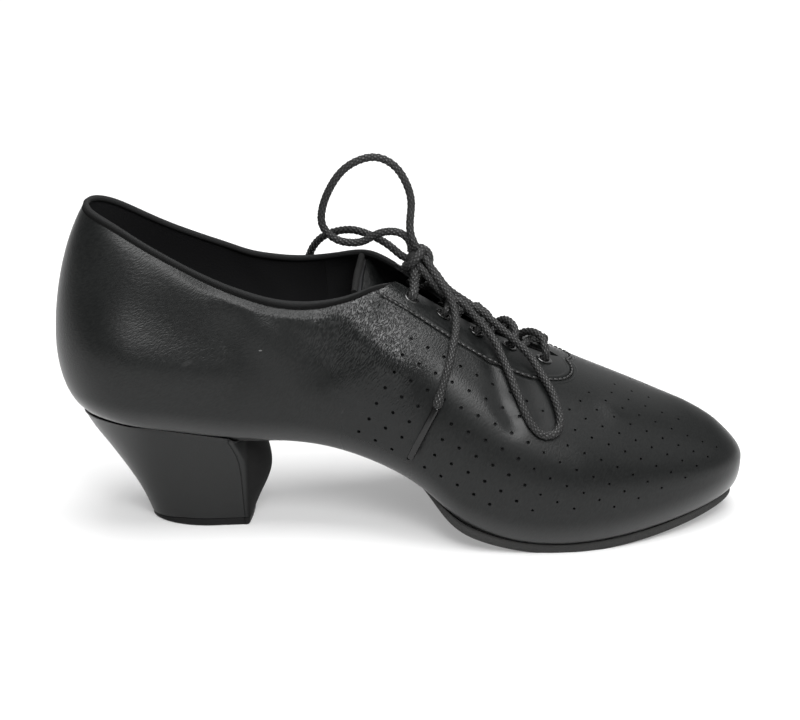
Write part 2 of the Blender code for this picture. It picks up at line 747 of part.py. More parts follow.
def build():
    for old in list(bpy.data.objects):
        bpy.data.objects.remove(old)
    outside = upper_grid()[0].reshape(-1, 3)
    middle = (outside.min(0) + outside.max(0)) / 2
    footprint = bpy.data.objects.new("footprint", None)
    footprint.location = (-middle[0] * MM, -middle[1] * MM, 0.0)
    bpy.context.collection.objects.link(footprint)

    leather = material("black_leather", (0.022, 0.023, 0.022), 0.42)
    suede = material("suede_sole", (0.05, 0.048, 0.045), 0.9)
    lining = material("sock_lining", (0.015, 0.015, 0.016), 0.8)
    rubber = material("heel_rubber", (0.02, 0.02, 0.021), 0.7)
    metal = material("eyelet_metal", (0.05, 0.05, 0.052), 0.3, 1.0)
    braid = material("lace_braid", (0.02, 0.021, 0.021), 0.5)
    plastic = material("aglet_plastic", (0.015, 0.015, 0.016), 0.25)

    seats = eyelet_seats()
    upper = place("upper", upper_mesh(), leather, footprint)
    holes = upper.modifiers.new("eyelet_holes", "BOOLEAN")
    holes.operation = "DIFFERENCE"
    holes.solver = "EXACT"
    holes.object = hole_cutters(seats, footprint)
    place("outsole", outsole_mesh(), suede, footprint)
    place("insole", insole_mesh(), lining, footprint)
    place("heel_block", heel_mesh(), leather, footprint)
    place("heel_top_piece", top_piece_mesh(), rubber, footprint)
    place("tongue", tongue_mesh(), leather, footprint)
    for word, centre, axis in seats:
        place(f"eyelet_{word}", eyelet_mesh(f"eyelet_{word}", centre, axis), metal, footprint)

    inner, outer = seats[: len(EYELETS_ALONG)], seats[len(EYELETS_ALONG) :]
    for number in range(1, len(EYELETS_ALONG)):
        name = f"lace_bar_{number + 1}"
        place(name, cord(name, lace_bar(inner[number], outer[number]), LACE_DIAMETER), braid, footprint)
    for seat, word in ((inner[0], "riser_inner"), (outer[0], "riser_outer")):
        place(f"lace_{word}", cord(f"lace_{word}", lace_riser(seat, word), LACE_DIAMETER), braid, footprint)

    place("lace_knot", knot_mesh(), braid, footprint)
    standing = [*knot_exit("standing_rise"), *STANDING_LOOP, *knot_exit("standing_return")[::-1]]
    side = [*knot_exit("side_loop_low"), *on_leather(SIDE_LOOP), *knot_exit("side_loop_high")[::-1]]
    for name, route in (("lace_loop_standing", standing), ("lace_loop_side", side)):
        place(name, cord(name, smooth_curve(route, 1.6 * LACE_DIAMETER), LACE_DIAMETER), braid, footprint)
    side_end = [*knot_exit("side_end"), *on_leather(SIDE_END)]
    side_tip = on_leather([SIDE_TIP])[0]
    far_end = [*knot_exit("far_end"), *FAR_END]
    for word, route, toward in (("side", side_end, side_tip), ("far", far_end, FAR_TIP)):
        run, tip = tipped(route, toward)
        place(f"lace_end_{word}", cord(f"lace_end_{word}", run, LACE_DIAMETER), braid, footprint)
        place(f"aglet_{word}", cord(f"aglet_{word}", tip, AGLET_DIAMETER), plastic, footprint)


build()
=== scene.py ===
"""The finished look of the left ballroom practice shoe.

Leather, lining, binding, stitches, holes, lace, tongue, sole and heel are made round the frame's solids.
Lengths are millimetres along the last, as in the part's source: x from the back of the heel to the toe,
y from the middle line with minus on the inner side, z up from the floor. to_frame turns them into the
frame's metres. turn is -1 at the feather edge, 0 at the widest line and 1 at the ridge.
"""

import math

import bmesh
import bpy
import numpy as np
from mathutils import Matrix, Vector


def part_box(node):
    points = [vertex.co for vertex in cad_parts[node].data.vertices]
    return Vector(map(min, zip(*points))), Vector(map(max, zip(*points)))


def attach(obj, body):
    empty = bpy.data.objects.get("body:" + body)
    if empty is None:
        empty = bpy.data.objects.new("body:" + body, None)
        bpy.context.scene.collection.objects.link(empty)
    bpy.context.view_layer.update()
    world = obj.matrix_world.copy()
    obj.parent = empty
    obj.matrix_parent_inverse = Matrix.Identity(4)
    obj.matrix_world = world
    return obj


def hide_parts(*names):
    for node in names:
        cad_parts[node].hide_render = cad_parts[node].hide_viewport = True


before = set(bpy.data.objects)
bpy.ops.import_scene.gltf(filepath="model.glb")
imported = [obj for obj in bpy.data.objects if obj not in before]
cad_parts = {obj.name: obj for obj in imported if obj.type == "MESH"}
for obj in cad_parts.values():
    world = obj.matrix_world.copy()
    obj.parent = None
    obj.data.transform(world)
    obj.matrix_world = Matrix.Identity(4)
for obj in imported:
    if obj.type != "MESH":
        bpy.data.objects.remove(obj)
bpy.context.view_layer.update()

MM = 0.001

# Driving dimensions
LENGTH = 240.0
WALL = 1.6
CLEARANCE = 0.3
HEEL_ROUND = 32.0
TOE_ROUND = 62.0
HEEL_FULLNESS = 2.2
TOE_FULLNESS = 2.1
TOE_SHIFT = 3.0
RIDGE_SHIFT = 2.0
RIDGE_SHIFT_SPAN = (150.0, 220.0)
CORNER = 118.0
THROAT_END = 175.0
LASTING_MARGIN = 8.0
INSOLE_THICKNESS = 1.8
INSOLE_INSET = 4.0
TOP_PIECE = 2.8
TONGUE_THICKNESS = 2.0
TONGUE_GAP = 0.45
LACE_DIAMETER = 2.8
AGLET_DIAMETER = 2.6
AGLET_LENGTH = 21.3
AGLET_OVERLAP = 0.4
AGLET_TWIST = 0.4
AGLET_SQUARENESS = 6
AGLET_FLAT = 0.9
# An aglet's profile as place along it and share of its thickness
AGLET_PROFILE = [
    (0.0, 0.6),
    (0.4, 0.92),
    (1.0, 1.0),
    (AGLET_LENGTH - 0.7, 0.95),
    (AGLET_LENGTH - 0.15, 0.8),
]

# Sections of the last, square to the middle line. bottom is the feather edge's height, inner and outer
# the half widths at the widest line, belly that line's height over the feather edge, tuck how far the
# feather edge lies inside it, top the ridge's height, lean how much the side falls in above the belly,
# middle how far the section's own middle lies to the outer side: the heel is set at an angle to the toe.
LAST_COLUMNS = "along bottom inner outer belly tuck_inner tuck_outer top lean middle"
LAST_ROWS = [
    (0, 41.6, 28.5, 28.5, 25.9, 11.5, 11.5, 141.0, 1.2, -6.0),
    (15, 42.2, 29.1, 29.1, 23.7, 9.6, 9.6, 139.6, 2.05, -4.9),
    (30, 40.8, 29.5, 29.5, 23.4, 8.0, 8.0, 137.0, 2.6, -3.6),
    (45, 38.4, 29.4, 29.8, 23.7, 7.0, 6.8, 131.5, 2.75, -2.3),
    (60, 36.0, 29.0, 30.0, 24.0, 6.5, 6.0, 124.0, 2.6, -1.2),
    (90, 33.0, 28.5, 33.0, 21.0, 7.5, 7.0, 105.5, 1.4, 0.0),
    (112, 27.0, 31.0, 37.5, 18.0, 7.5, 6.0, 92.5, 0.8, 0.0),
    (132, 16.7, 37.0, 41.5, 17.2, 5.5, 5.0, 79.3, 0.7, 0.0),
    (139, 11.2, 39.3, 42.4, 18.4, 4.7, 4.5, 74.8, 0.71, 0.0),
    (148, 7.2, 41.5, 43.0, 17.8, 4.0, 4.0, 69.6, 0.75, 0.0),
    (166, 3.4, 43.0, 42.0, 17.0, 4.0, 4.0, 61.2, 0.88, 0.0),
    (188, 3.2, 40.5, 39.0, 16.0, 4.0, 4.0, 52.0, 1.0, 0.0),
    (212, 5.2, 35.0, 34.0, 14.0, 4.0, 4.0, 42.3, 1.0, 0.0),
    (240, 10.5, 30.0, 30.0, 10.0, 3.0, 3.0, 28.5, 1.0, 0.0),
]
# Height of the collar's edge behind the throat's corners
COLLAR_COLUMNS = "along inner outer"
COLLAR_ROWS = [
    (0, 116.0, 116.0),
    (12, 112.4, 112.4),
    (30, 104.6, 104.8),
    (55, 93.4, 94.6),
    (80, 85.3, 87.4),
    (92, 85.0, 87.7),
    (100, 86.2, 89.4),
    (106, 87.8, 90.8),
    (111, 88.8, 90.7),
]
# Distance of the throat's edges from the ridge
THROAT_COLUMNS = "along inner outer"
THROAT_ROWS = [
    (108, 10.0, 14.0),
    (118, 8.5, 11.5),
    (128, 7.0, 7.8),
    (140, 5.5, 5.5),
    (152, 4.2, 4.2),
    (165, 3.0, 3.0),
    (172, 2.0, 2.0),
    (175, 0.0, 0.0),
]
# How far the outsole's edge stands out from the feather edge, and the outsole's thickness
SOLE_COLUMNS = "along inner outer thickness"
SOLE_ROWS = [
    (0, -1.5, -1.5, 1.0),
    (50, -1.5, -1.5, 1.0),
    (64, -2.2, -2.0, 1.5),
    (80, -5.0, -4.0, 2.0),
    (110, -8.0, -6.0, 2.2),
    (128, -6.0, -3.6, 2.7),
    (134.5, 0.8, 1.0, 3.1),
    (140, 2.4, 2.0, 3.1),
    (152, 1.6, 1.5, 3.0),
    (170, 1.0, 1.0, 3.0),
    (215, 1.0, 1.0, 3.0),
    (240, -0.4, -0.4, 3.0),
]
# The heel block from its top piece (0) to the seat (1). bulge is how far the breast's middle stands
# forward.
HEEL_COLUMNS = "share back breast half bulge"
HEEL_ROWS = [
    (0.0, 31.8, 67.0, 16.2, 1.4),
    (0.2, 28.7, 66.6, 16.9, 4.6),
    (0.45, 23.1, 66.2, 18.4, 7.8),
    (0.7, 16.4, 65.5, 20.4, 7.9),
    (0.86, 12.0, 64.2, 21.7, 7.6),
    (1.0, 8.9, 62.0, 22.9, 8.0),
]
# Where along a level the heel is widest, and its breast's width as a share of that
HEEL_FULLEST = 0.62
BREAST_WIDTH = 0.97
HEEL_BELOW_SOLE = 2.6 * CLEARANCE
# Levels of the block, and points round its back and across its breast
HEEL_LEVELS = 40
HEEL_BACK_STEPS = 49
HEEL_BREAST_STEPS = 25
# The rim that the heel's cover carries up to the leather: how high over its seat, and how far out
LIP_COLUMNS = "along rise out"
LIP_ROWS = [
    (14, -0.3, 0.0),
    (26, 0.0, 0.0),
    (34, 1.1, 0.1),
    (42, 1.5, 0.6),
    (50, 1.95, 1.3),
    (58, 2.6, 2.1),
    (61, 2.0, 1.8),
    (63, 0.6, 0.8),
]
# The rim's own rings as shares of that rise and of that way out. At the heel's sides it comes up between
# two distances from the middle line, and from its back it fades between two places along. Its inside is
# drawn in to a share of the heel's outline, at its top and at its foot.
LIP_RINGS = [(0.5, 0.45), (1.0, 1.0), (0.97, 0.2)]
LIP_SIDES = (18.0, 20.5)
LIP_BACK = (24.0, 34.0)
LIP_INSIDE_TOP = 0.965
LIP_INSIDE_FOOT = 0.93
# The rubber top piece: shares of its height and of the heel's outline, and how it thins out to the back
TOP_PIECE_PROFILE = [(0.0, 0.94), (0.09, 0.96), (0.3, 0.985), (0.93, 0.985), (1.0, 0.98)]
TOP_PIECE_THINS = ((31.0, 44.0), (0.45, 1.0))
# The cover's folded edge beside the breast: back from the corner, and how far it stands out
HEEL_FOLD = [
    (2.4, 0.0),
    (1.95, 0.0),
    (1.82, -0.2),
    (1.68, -0.2),
    (1.54, 0.04),
    (1.0, 0.1),
    (0.4, 0.06),
    (0.1, -0.12),
]
# The tongue's half widths, how far it sinks below the last's ridge, and how much of the last's arch is
# levelled out of it. Its free end stands up behind the throat.
TONGUE_COLUMNS = "along inner outer sink level"
TONGUE_ROWS = [
    (104, 15.0, 16.8, 6.2, 1.0),
    (110, 16.5, 17.8, 7.3, 0.95),
    (115, 18.0, 18.5, 9.3, 0.85),
    (120, 19.0, 19.0, 7.6, 0.6),
    (128, 19.0, 19.0, 4.0, 0.35),
    (140, 17.8, 17.8, 1.5, 0.1),
    (150, 17.0, 17.0, 0.5, 0.0),
    (183, 13.0, 13.0, 0.0, 0.0),
]
# The free end's length, how far it leans to the front in its middle and more to the outer side, and how
# far its inner corner hangs
TONGUE_FREE = 14.0
TONGUE_LEAN = 2.5
TONGUE_SLANT = 1.1
TONGUE_CORNER = 2.8
# The leather starts this far ahead of the felt, and the rounded edge over the felt's end has this radius
TONGUE_LEATHER_BACK = 2.1
TONGUE_EDGE = 1.2
# Rows and columns of the tongue's faces
TONGUE_GRID = (70, 41)
EYELETS_ALONG = (123.5, 134.5, 146.0, 157.5, 169.5)
EYELET_FROM_EDGE = 5.0
EYELET_HOLE_RADIUS = 2.4
EYELET_FLANGE = 2.85
EYELET_BORE = 1.75
EYELET_BARREL = 2.1
# An eyelet's profile as radius and height over the leather, and that of the drill for its hole
EYELET_PROFILE = [
    (EYELET_BORE, -1.5),
    (EYELET_BARREL, -1.5),
    (EYELET_BARREL, 0.1),
    (EYELET_FLANGE, 0.12),
    (EYELET_FLANGE + 0.05, 0.3),
    (EYELET_FLANGE - 0.15, 0.42),
    (EYELET_FLANGE - 0.5, 0.5),
    (EYELET_BORE + 0.3, 0.44),
    (EYELET_BORE + 0.05, 0.25),
    (EYELET_BORE, 0.0),
    (EYELET_BORE, -1.5),
]
EYELET_DRILL = [(0.0, -4.0), (EYELET_HOLE_RADIUS, -4.0), (EYELET_HOLE_RADIUS, 3.0), (0.0, 3.0)]

# The bow, as x, y, z. Stretches that lie on the inner side are along, turn, lift, with turn 0 at the
# widest line and 1 at the ridge, and lift the height of the lace's middle over the leather.
KNOT_PLACE = (126.0, 0.5, 92.5)
KNOT_CORE = ((125.6, 0.6, 92.6), (4.3, 3.3, 4.3))
KNOT_BAND = [
    (121.4, -2.6, 90.9),
    (122.6, -4.2, 92.3),
    (124.4, -4.7, 94.3),
    (126.0, -3.8, 96.0),
    (126.8, -1.2, 96.9),
    (126.2, 1.8, 96.0),
    (124.4, 3.2, 93.8),
    (122.4, 2.4, 91.4),
    (121.2, 0.0, 90.3),
]
KNOT_ARC = [
    (122.8, 1.6, 95.8),
    (124.8, 0.4, 97.3),
    (127.2, -0.8, 97.5),
    (129.1, -1.6, 96.0),
    (129.6, -2.2, 93.4),
    (128.6, -1.8, 90.8),
    (126.6, -0.6, 89.4),
]
RISER_INNER = [(124.4, -8.6, 86.5), (124.6, -5.6, 90.0), (124.8, -2.4, 92.4)]
RISER_OUTER = [(127.4, 11.6, 82.8), (128.4, 8.6, 84.8), (127.6, 5.4, 88.4), (125.6, 2.8, 92.0)]
LOOP_STANDING = [
    (125.6, 0.4, 95.2),
    (124.6, 0.6, 98.2),
    (123.3, 1.6, 101.2),
    (122.8, 3.0, 105.8),
    (123.2, 5.0, 112.5),
    (121.2, 6.0, 119.5),
    (117.5, 7.0, 124.7),
    (111.0, 8.0, 127.6),
    (105.3, 8.0, 126.6),
    (100.0, 8.0, 123.3),
    (95.0, 8.0, 116.3),
    (92.3, 8.0, 108.7),
    (92.6, 7.4, 102.6),
    (94.4, 6.8, 100.3),
    (97.5, 6.0, 98.3),
    (101.9, 5.0, 97.6),
    (106.3, 4.5, 98.2),
    (111.3, 4.0, 101.0),
    (115.7, 3.5, 102.2),
    (119.4, 3.0, 101.8),
    (122.3, 2.4, 99.6),
    (123.4, 1.8, 96.6),
    (124.4, 1.2, 93.8),
]
END_FAR = [
    (123.6, 2.0, 92.6),
    (121.2, 3.2, 92.8),
    (116.6, 6.0, 95.4),
    (109.6, 10.0, 98.4),
    (102.9, 13.5, 99.4),
    (98.2, 17.0, 98.0),
    (92.6, 21.5, 94.6),
    (88.0, 26.6, 88.0),
    (85.8, 30.6, 80.0),
    (84.4, 33.4, 71.0),
    (83.4, 35.2, 61.0),
]
SIDE_LOW = [
    (124.8, -1.8, 94.2),
    (125.9, -4.2, 92.4),
    (127.3, -5.3, 91.0),
    (129.1, -6.0, 89.0),
    (131.4, -6.6, 86.3),
    (133.5, -6.8, 84.0),
    (135.5, -6.6, 82.2),
    (138.0, -6.4, 81.0),
    (140.2, -7.0, 80.2),
    (143.2, -8.2, 77.8),
    (147.3, -10.5, 73.7),
    (150.9, -13.8, 70.3),
]
SIDE_LAID = [
    (152.6, 0.785, 2.4),
    (154.7, 0.725, 1.75),
    (156.8, 0.65, 1.7),
    (158.6, 0.58, 1.7),
    (160.4, 0.52, 1.7),
    (162.4, 0.455, 1.7),
    (165.0, 0.40, 1.7),
    (168.6, 0.37, 1.7),
    (172.0, 0.39, 1.7),
    (173.9, 0.445, 1.7),
    (173.7, 0.51, 1.7),
    (172.3, 0.585, 1.7),
    (170.4, 0.655, 1.7),
    (167.8, 0.72, 1.8),
]
SIDE_HIGH = [
    (164.4, -14.9, 63.2),
    (160.7, -12.2, 66.4),
    (156.6, -10.0, 69.5),
    (152.5, -8.0, 72.6),
    (148.3, -6.2, 75.8),
    (144.2, -5.0, 78.2),
    (140.4, -4.2, 80.6),
    (136.9, -3.9, 83.0),
    (134.5, -3.3, 85.3),
    (131.2, -1.6, 89.4),
    (127.6, 0.4, 92.0),
]
END_SIDE = [
    (126.4, -1.2, 95.6),
    (128.6, -3.2, 94.0),
    (130.1, -4.6, 91.8),
    (131.9, -6.2, 89.3),
    (133.7, -7.8, 87.2),
    (135.5, -9.3, 85.0),
    (137.0, -11.0, 82.4),
    (138.3, -13.4, 78.9),
]
END_LAID = [
    (137.8, 0.80, 2.0),
    (137.7, 0.73, 1.75),
    (137.1, 0.64, 1.7),
    (136.4, 0.55, 1.7),
    (135.4, 0.47, 1.7),
    (134.2, 0.385, 1.75),
    (133.4, 0.325, 2.0),
    (132.6, 0.265, 2.6),
]
SIDE_TIP = (123.9, -0.22, 3.2)
FAR_TIP = (82.0, 37.6, 44.0)
# The crossed lace between the eyelets: each near strand's arch over the throat, by its eyelet's number
ARCHES = {
    2: [
        (136.4, -8.0, 80.4),
        (136.0, -4.0, 82.0),
        (133.6, 1.0, 82.4),
        (130.4, 5.5, 81.8),
        (127.6, 8.5, 80.4),
    ],
    3: [
        (150.4, -6.6, 71.9),
        (150.2, -4.0, 73.7),
        (148.3, -1.0, 74.8),
        (146.2, 2.0, 75.0),
        (143.6, 5.0, 73.6),
    ],
    4: [
        (159.4, -6.5, 68.1),
        (159.1, -4.5, 69.8),
        (157.6, -1.5, 70.9),
        (155.3, 2.0, 70.5),
        (153.0, 4.6, 68.4),
    ],
    5: [
        (169.8, -6.2, 63.1),
        (169.2, -4.0, 65.3),
        (166.8, -1.0, 66.6),
        (163.7, 2.4, 65.9),
        (161.2, 4.4, 63.8),
    ],
}
# The far strand of pair 2, which lies behind the bow, and the low arches of the other far strands: their
# height, and their shares of the way across
FAR_ARCH = [(135.4, 8.0, 79.6), (136.2, 3.5, 79.6), (137.0, -1.0, 78.2), (137.8, -5.0, 75.4)]
LOW_ARCH = 3.0
LOW_ARCH_SHARES = (0.3, 0.6)
# A strand's heights as it comes up out of its eyelet. It dives ahead of the next eyelet's place, and under
# the facing it lies this far in from the throat's edge and this deep.
OUT_OF_EYELET = (-2.2, 0.6, 1.6)
DIVE_AHEAD = 3.0
LOW_DIVE_AHEAD = 4.0
FAR_DIVE_AHEAD = 1.0
UNDER_FROM_EDGE = 1.2
UNDER_DEPTH = 2.6

# Steps of the leather's fine grid and of the lining's plain one
FINE = {"heel": 24, "quarter": 64, "throat": 44, "toe": 46, "lower": 16, "upper": 50}
PLAIN = {"heel": 14, "quarter": 34, "throat": 24, "toe": 26, "lower": 8, "upper": 24}
# Rows of the leather's upper part crowd toward its top edge by this power
ROW_CROWDING = 1.25
# The step that measures slopes, the distance at which points are welded, and the angle, in degrees, from
# which an edge that was cut stays sharp
SMALL_STEP = 0.01
WELD = 0.001
CUT_SHARP = 38

# Sizes of the finish, from the photograph
LEATHER = 1.05
LINING_GAP = 0.05
LINING_SEAM = 97.2
LINING_SEAM_LEAN = 0.06
GRAIN_DEPTH = 0.16
HEM_GLOSS = 0.7
FLEX_GLOSS = 0.6
# The part of each wall's thickness that a fold may take before the wall's inner face gives way
LEATHER_SPARE = 0.6
LINING_SPARE = 0.4
# The collar's roll: where it starts above the binding's edge, its crest below that edge, and how far it
# fades below its crest. It stiffens along the quarter and ends before the throat's corner. Above it the
# leather sinks under the binding, by a share of that depth where the roll is soft.
ROLL_START = 0.9
ROLL_CREST = 4.4
ROLL_FADE = 7.0
ROLL_STIFFENS = (32.0, 66.0)
ROLL_ENDS = (CORNER - 9, CORNER - 2)
ROLL_SINK = 0.5
ROLL_SOFTEST = 0.3
# The binding's width, and its profile round the collar's edge: how far it stands out of the leather, the
# share of its width down from the edge, how far over that, and its share of painted light: a painted
# highlight along its top that fades to painted shade down both faces. Its first and last rows lay a black
# strip of painted shadow on the leather below its edge.
BINDING_PROUD = 0.3
# How far the black strip of painted shadow reaches down the leather below the binding's edge
BINDING_SHADOW_STRIP = 0.75
BINDING_FACE = BINDING_PROUD - 0.2
BINDING_BACK = -WALL - BINDING_PROUD
BINDING_COLUMNS = "along width"
BINDING_ROWS = [(18, 1.6), (60, 1.6), (84, 1.8), (98, 1.3), (114, 1.1)]
BINDING_PROFILE = [
    (-0.06, 1.0, -BINDING_SHADOW_STRIP, 0.0),
    (-0.02, 1.0, -0.1, 0.0),
    (BINDING_FACE, 1.0, 0.3, 0.3),
    (BINDING_FACE + 0.14, 0.5, 0.0, 0.5),
    (BINDING_FACE - 0.1, 0.0, -0.3, 0.9),
    (-0.35, 0.0, 0.32, 1.0),
    (-0.8, 0.0, 0.45, 1.0),
    (-1.25, 0.0, 0.32, 1.0),
    (BINDING_BACK + 0.1, 0.0, -0.3, 0.85),
    (BINDING_BACK - 0.1, 0.5, 0.0, 0.4),
    (BINDING_BACK, 1.0, 0.3, 0.3),
    (BINDING_BACK + 0.2, 1.0, 0.0, 0.2),
    (-WALL, 1.0, 0.0, 0.0),
    (-WALL, 0.0, -0.05, 0.0),
    (-0.3, 0.0, -0.05, 0.0),
    (-0.3, 1.0, -BINDING_SHADOW_STRIP, 0.0),
]
# A stitch's profile: place as a share of its length, and thickness as a share of its thread's
STITCH_PITCH = 2.1
STITCH_LENGTH = 1.6
STITCH_THREAD = 0.42
STITCH_LIFT = 0.02
STITCH_WANDER = 0.12
STITCH_SIDES = 6
STITCH_PROFILE = [(-0.5, 0.4), (-0.38, 0.85), (0.0, 1.0), (0.38, 0.85), (0.5, 0.4)]
# A black dot of painted shade at a needle's hole, as radius and height over its own place, which lies this
# deep
NEEDLE_SINK = 0.16
NEEDLE_PROFILE = [(0.0, -0.1), (0.42, -0.1), (0.42, 0.1), (0.0, 0.15)]
# The punched holes, which are smaller on the toe, and the punch's profile as radius and height
HOLE_STEP = 6.45
HOLE_RADIUS = 0.5
HOLE_FLARE = 0.7
HOLES_SMALL_FROM = 164.0
HOLES_SMALL = 0.76
PUNCH_PROFILE = [
    (0.0, -3.0),
    (HOLE_RADIUS, -3.0),
    (HOLE_RADIUS, -0.3),
    (HOLE_RADIUS * 1.12, -0.12),
    (HOLE_FLARE, 0.12),
    (HOLE_FLARE, 1.0),
    (0.0, 1.0),
]
# The lace's braid, with the share of a strand's crown that is left between the strands which it lies over
BRAID_STRANDS = 6
BRAID_PITCH = 2.1
BRAID_DEPTH = 0.26
BRAID_EVEN = 0.4
# The braid's rings are this far apart, with this many points
BRAID_STEP = 0.2
BRAID_SIDES = 48
# How thick each stretch is drawn, as a share of the lace's diameter over its crowns
LACE_SWELL = 1.05
RISER_SWELL = 1.28
BAND_SWELL = 1.2
ARC_SWELL = 1.1
# A lace's end opens by a share at a place before its tip, and closes again in the tip's mouth
END_OPENS = 0.32
END_OPENS_BEFORE = 2.6
END_OPENS_LENGTH = 2.4
END_CLOSES = 0.2
END_MOUTH = 1.0
# How far the softened edges of the sole and of the sock lining reach
SOLE_SOFT = 0.35
SOCK_SOFT = 0.5
# About the length of leather that one turn covers, for paths given as along and turn
TURN_LENGTH = 60.0

# The facing's stitch line on one side, as along and turn; the other side mirrors it
FACING_STITCH = [
    (113.5, 0.69),
    (123.5, 0.72),
    (133.5, 0.73),
    (147.0, 0.73),
    (156.0, 0.72),
    (164.5, 0.715),
    (171.0, 0.74),
    (176.5, 0.79),
    (179.3, 0.88),
    (178.8, 0.96),
    (177.6, 1.0),
]
# The needle's holes lie in a groove of this depth, in leather that the thread draws down over a wider
# reach. The facing's own edge shows beside its front end.
GROOVE_DEPTH = 0.42
DRAWN_DEPTH = 0.12
DRAWN_REACH = 1.6
FACING_EDGE_AWAY = 1.35
# The points that measure the way to the seam and to a fold are this far apart, and the values that the
# leather keeps at its points end at these distances
SEAM_STEP = 2.0
FOLD_STEP = 3.0
SEAM_REACH = 9.0
HEM_REACH = 20.0
# The punched lattice's first row and first column, as along and turn
LATTICE_ROW = [
    (123.5, 0.54),
    (146.0, 0.58),
    (162.5, 0.55),
    (171.5, 0.50),
    (181.0, 0.44),
    (191.0, 0.39),
    (201.5, 0.31),
    (211.0, 0.20),
    (220.5, 0.05),
    (226.0, -0.10),
]
LATTICE_COLUMN = [
    (138.0, 1.08),
    (131.5, 0.80),
    (123.5, 0.54),
    (118.0, 0.30),
    (111.5, 0.08),
    (105.0, -0.31),
    (102.5, -0.60),
]
# The turns between which the leather is punched
PUNCHED_COLUMNS = "along low high"
PUNCHED_ROWS = [
    (103, -0.36, -0.25),
    (106, -0.36, 0.0),
    (116, -0.36, 0.34),
    (123, -0.33, 0.56),
    (140, -0.28, 0.60),
    (152, -0.26, 0.59),
    (163, -0.20, 0.57),
    (171, -0.19, 0.58),
    (180, -0.19, 0.68),
    (192, -0.19, 0.85),
    (200, -0.10, 0.95),
    (213, -0.09, 0.95),
    (222, 0.04, 0.80),
    (229, 0.14, 0.58),
    (236, 0.30, 0.34),
]
# Soft troughs and ridges of the leather: side, path as along and turn, half width, height
FOLDS = [
    (-1, [(46.0, 0.42), (54.0, 0.32), (60.5, 0.22), (62.5, 0.06), (61.5, -0.1)], 6.0, -0.8),
    (-1, [(19.5, 0.235), (31.0, 0.193), (38.7, 0.163), (46.0, 0.13), (53.0, 0.10)], 15.0, -2.4),
    (-1, [(18.0, 0.02), (31.0, 0.0), (44.0, 0.0), (54.0, 0.03)], 11.0, 1.2),
    (-1, [(60.0, 0.10), (70.0, 0.07), (84.0, 0.06)], 11.0, -1.2),
    (-1, [(75.0, 0.26), (88.0, 0.21), (96.0, 0.15)], 5.0, -0.6),
    (-1, [(72.0, 0.17), (82.0, 0.07), (88.0, -0.05), (93.0, -0.14)], 6.0, 0.6),
    (-1, [(92.0, 0.37), (99.0, 0.31), (106.0, 0.285)], 5.5, -0.7),
    (-1, [(106.0, 0.345), (112.0, 0.325), (118.0, 0.325)], 6.0, 0.9),
    (-1, [(104.0, 0.52), (111.0, 0.55), (121.5, 0.565)], 6.0, -0.8),
    (-1, [(117.0, 0.79), (123.0, 0.79)], 4.5, 0.5),
    (-1, [(147.5, 0.84), (151.5, 0.68), (155.0, 0.47), (158.5, 0.40)], 3.2, -1.0),
    (-1, [(160.0, 0.80), (164.5, 0.62), (168.0, 0.46)], 4.0, -0.35),
    (-1, [(193.5, 0.65), (195.0, 0.61)], 4.5, 0.55),
    (-1, [(239.5, 0.82), (239.8, 0.72), (239.8, 0.66)], 9.0, 1.15),
    (1, [(66.0, 0.31), (72.0, 0.22), (79.0, 0.13)], 7.0, -0.7),
    (1, [(147.0, 0.84), (152.0, 0.66), (156.0, 0.48)], 4.0, -0.6),
]

# Rubbed marks on the inner side: along, height, length, width, rise, and how pale
SCUFFS = [
    (72.0, 69.3, 1.3, 0.5, 8.0, 0.6),
    (47.2, 65.8, 4.5, 1.6, 20.0, 0.045),
    (100.1, 48.1, 3.0, 0.35, 60.0, 0.07),
]


# Curves and tables


def columns(names, rows):
    """A table's rows as one array for each named column."""
    return dict(zip(names.split(), np.array(rows, float).T))


def spline(at, xs, ys):
    """The natural cubic spline through a column's values, as a batten bent through them."""
    xs, ys, at = (np.asarray(values, float) for values in (xs, ys, at))
    count, gaps = len(xs), np.diff(xs)
    matrix, right = np.eye(count), np.zeros(count)
    for i in range(1, count - 1):
        matrix[i, i - 1 : i + 2] = gaps[i - 1], 2 * (gaps[i - 1] + gaps[i]), gaps[i]
        right[i] = 6 * ((ys[i + 1] - ys[i]) / gaps[i] - (ys[i] - ys[i - 1]) / gaps[i - 1])
    bend = np.linalg.solve(matrix, right)
    k = np.clip(np.searchsorted(xs, at) - 1, 0, count - 2)
    t, gap = at - xs[k], gaps[k]
    slope = (ys[k + 1] - ys[k]) / gap - gap * (2 * bend[k] + bend[k + 1]) / 6
    return ys[k] + slope * t + bend[k] / 2 * t**2 + (bend[k + 1] - bend[k]) / (6 * gap) * t**3


LAST = columns(LAST_COLUMNS, LAST_ROWS)
COLLAR = columns(COLLAR_COLUMNS, COLLAR_ROWS)
THROAT = columns(THROAT_COLUMNS, THROAT_ROWS)
SOLE = columns(SOLE_COLUMNS, SOLE_ROWS)
HEEL = columns(HEEL_COLUMNS, HEEL_ROWS)
TONGUE = columns(TONGUE_COLUMNS, TONGUE_ROWS)


def last(name, x):
    """One of the last's columns at x."""
    return spline(x, LAST["along"], LAST[name])


def sided(table, x, side, prefix=""):
    """A table's inner or outer column at x, by the side's sign."""
    inner = spline(x, table["along"], table[prefix + "inner"])
    outer = spline(x, table["along"], table[prefix + "outer"])
    return np.where(side < 0, inner, outer)


def run_along(points):
    """How far along a path each of its points lies."""
    return np.concatenate([[0.0], np.cumsum(np.linalg.norm(np.diff(points, axis=0), axis=1))])


def smooth_curve(points, step):
    """Points about step apart along the spline through a route's own points."""
    points = np.array(points, float)
    run = run_along(points)
    at = np.linspace(0, run[-1], max(int(round(run[-1] / step)), 3) + 1)
    return np.stack([spline(at, run, points[:, i]) for i in range(3)], -1)


def soft_step(value, low, high):
    """0 below low, 1 above high, smooth in between."""
    share = np.clip((value - low) / (high - low), 0, 1)
    return share * share * (3 - 2 * share)


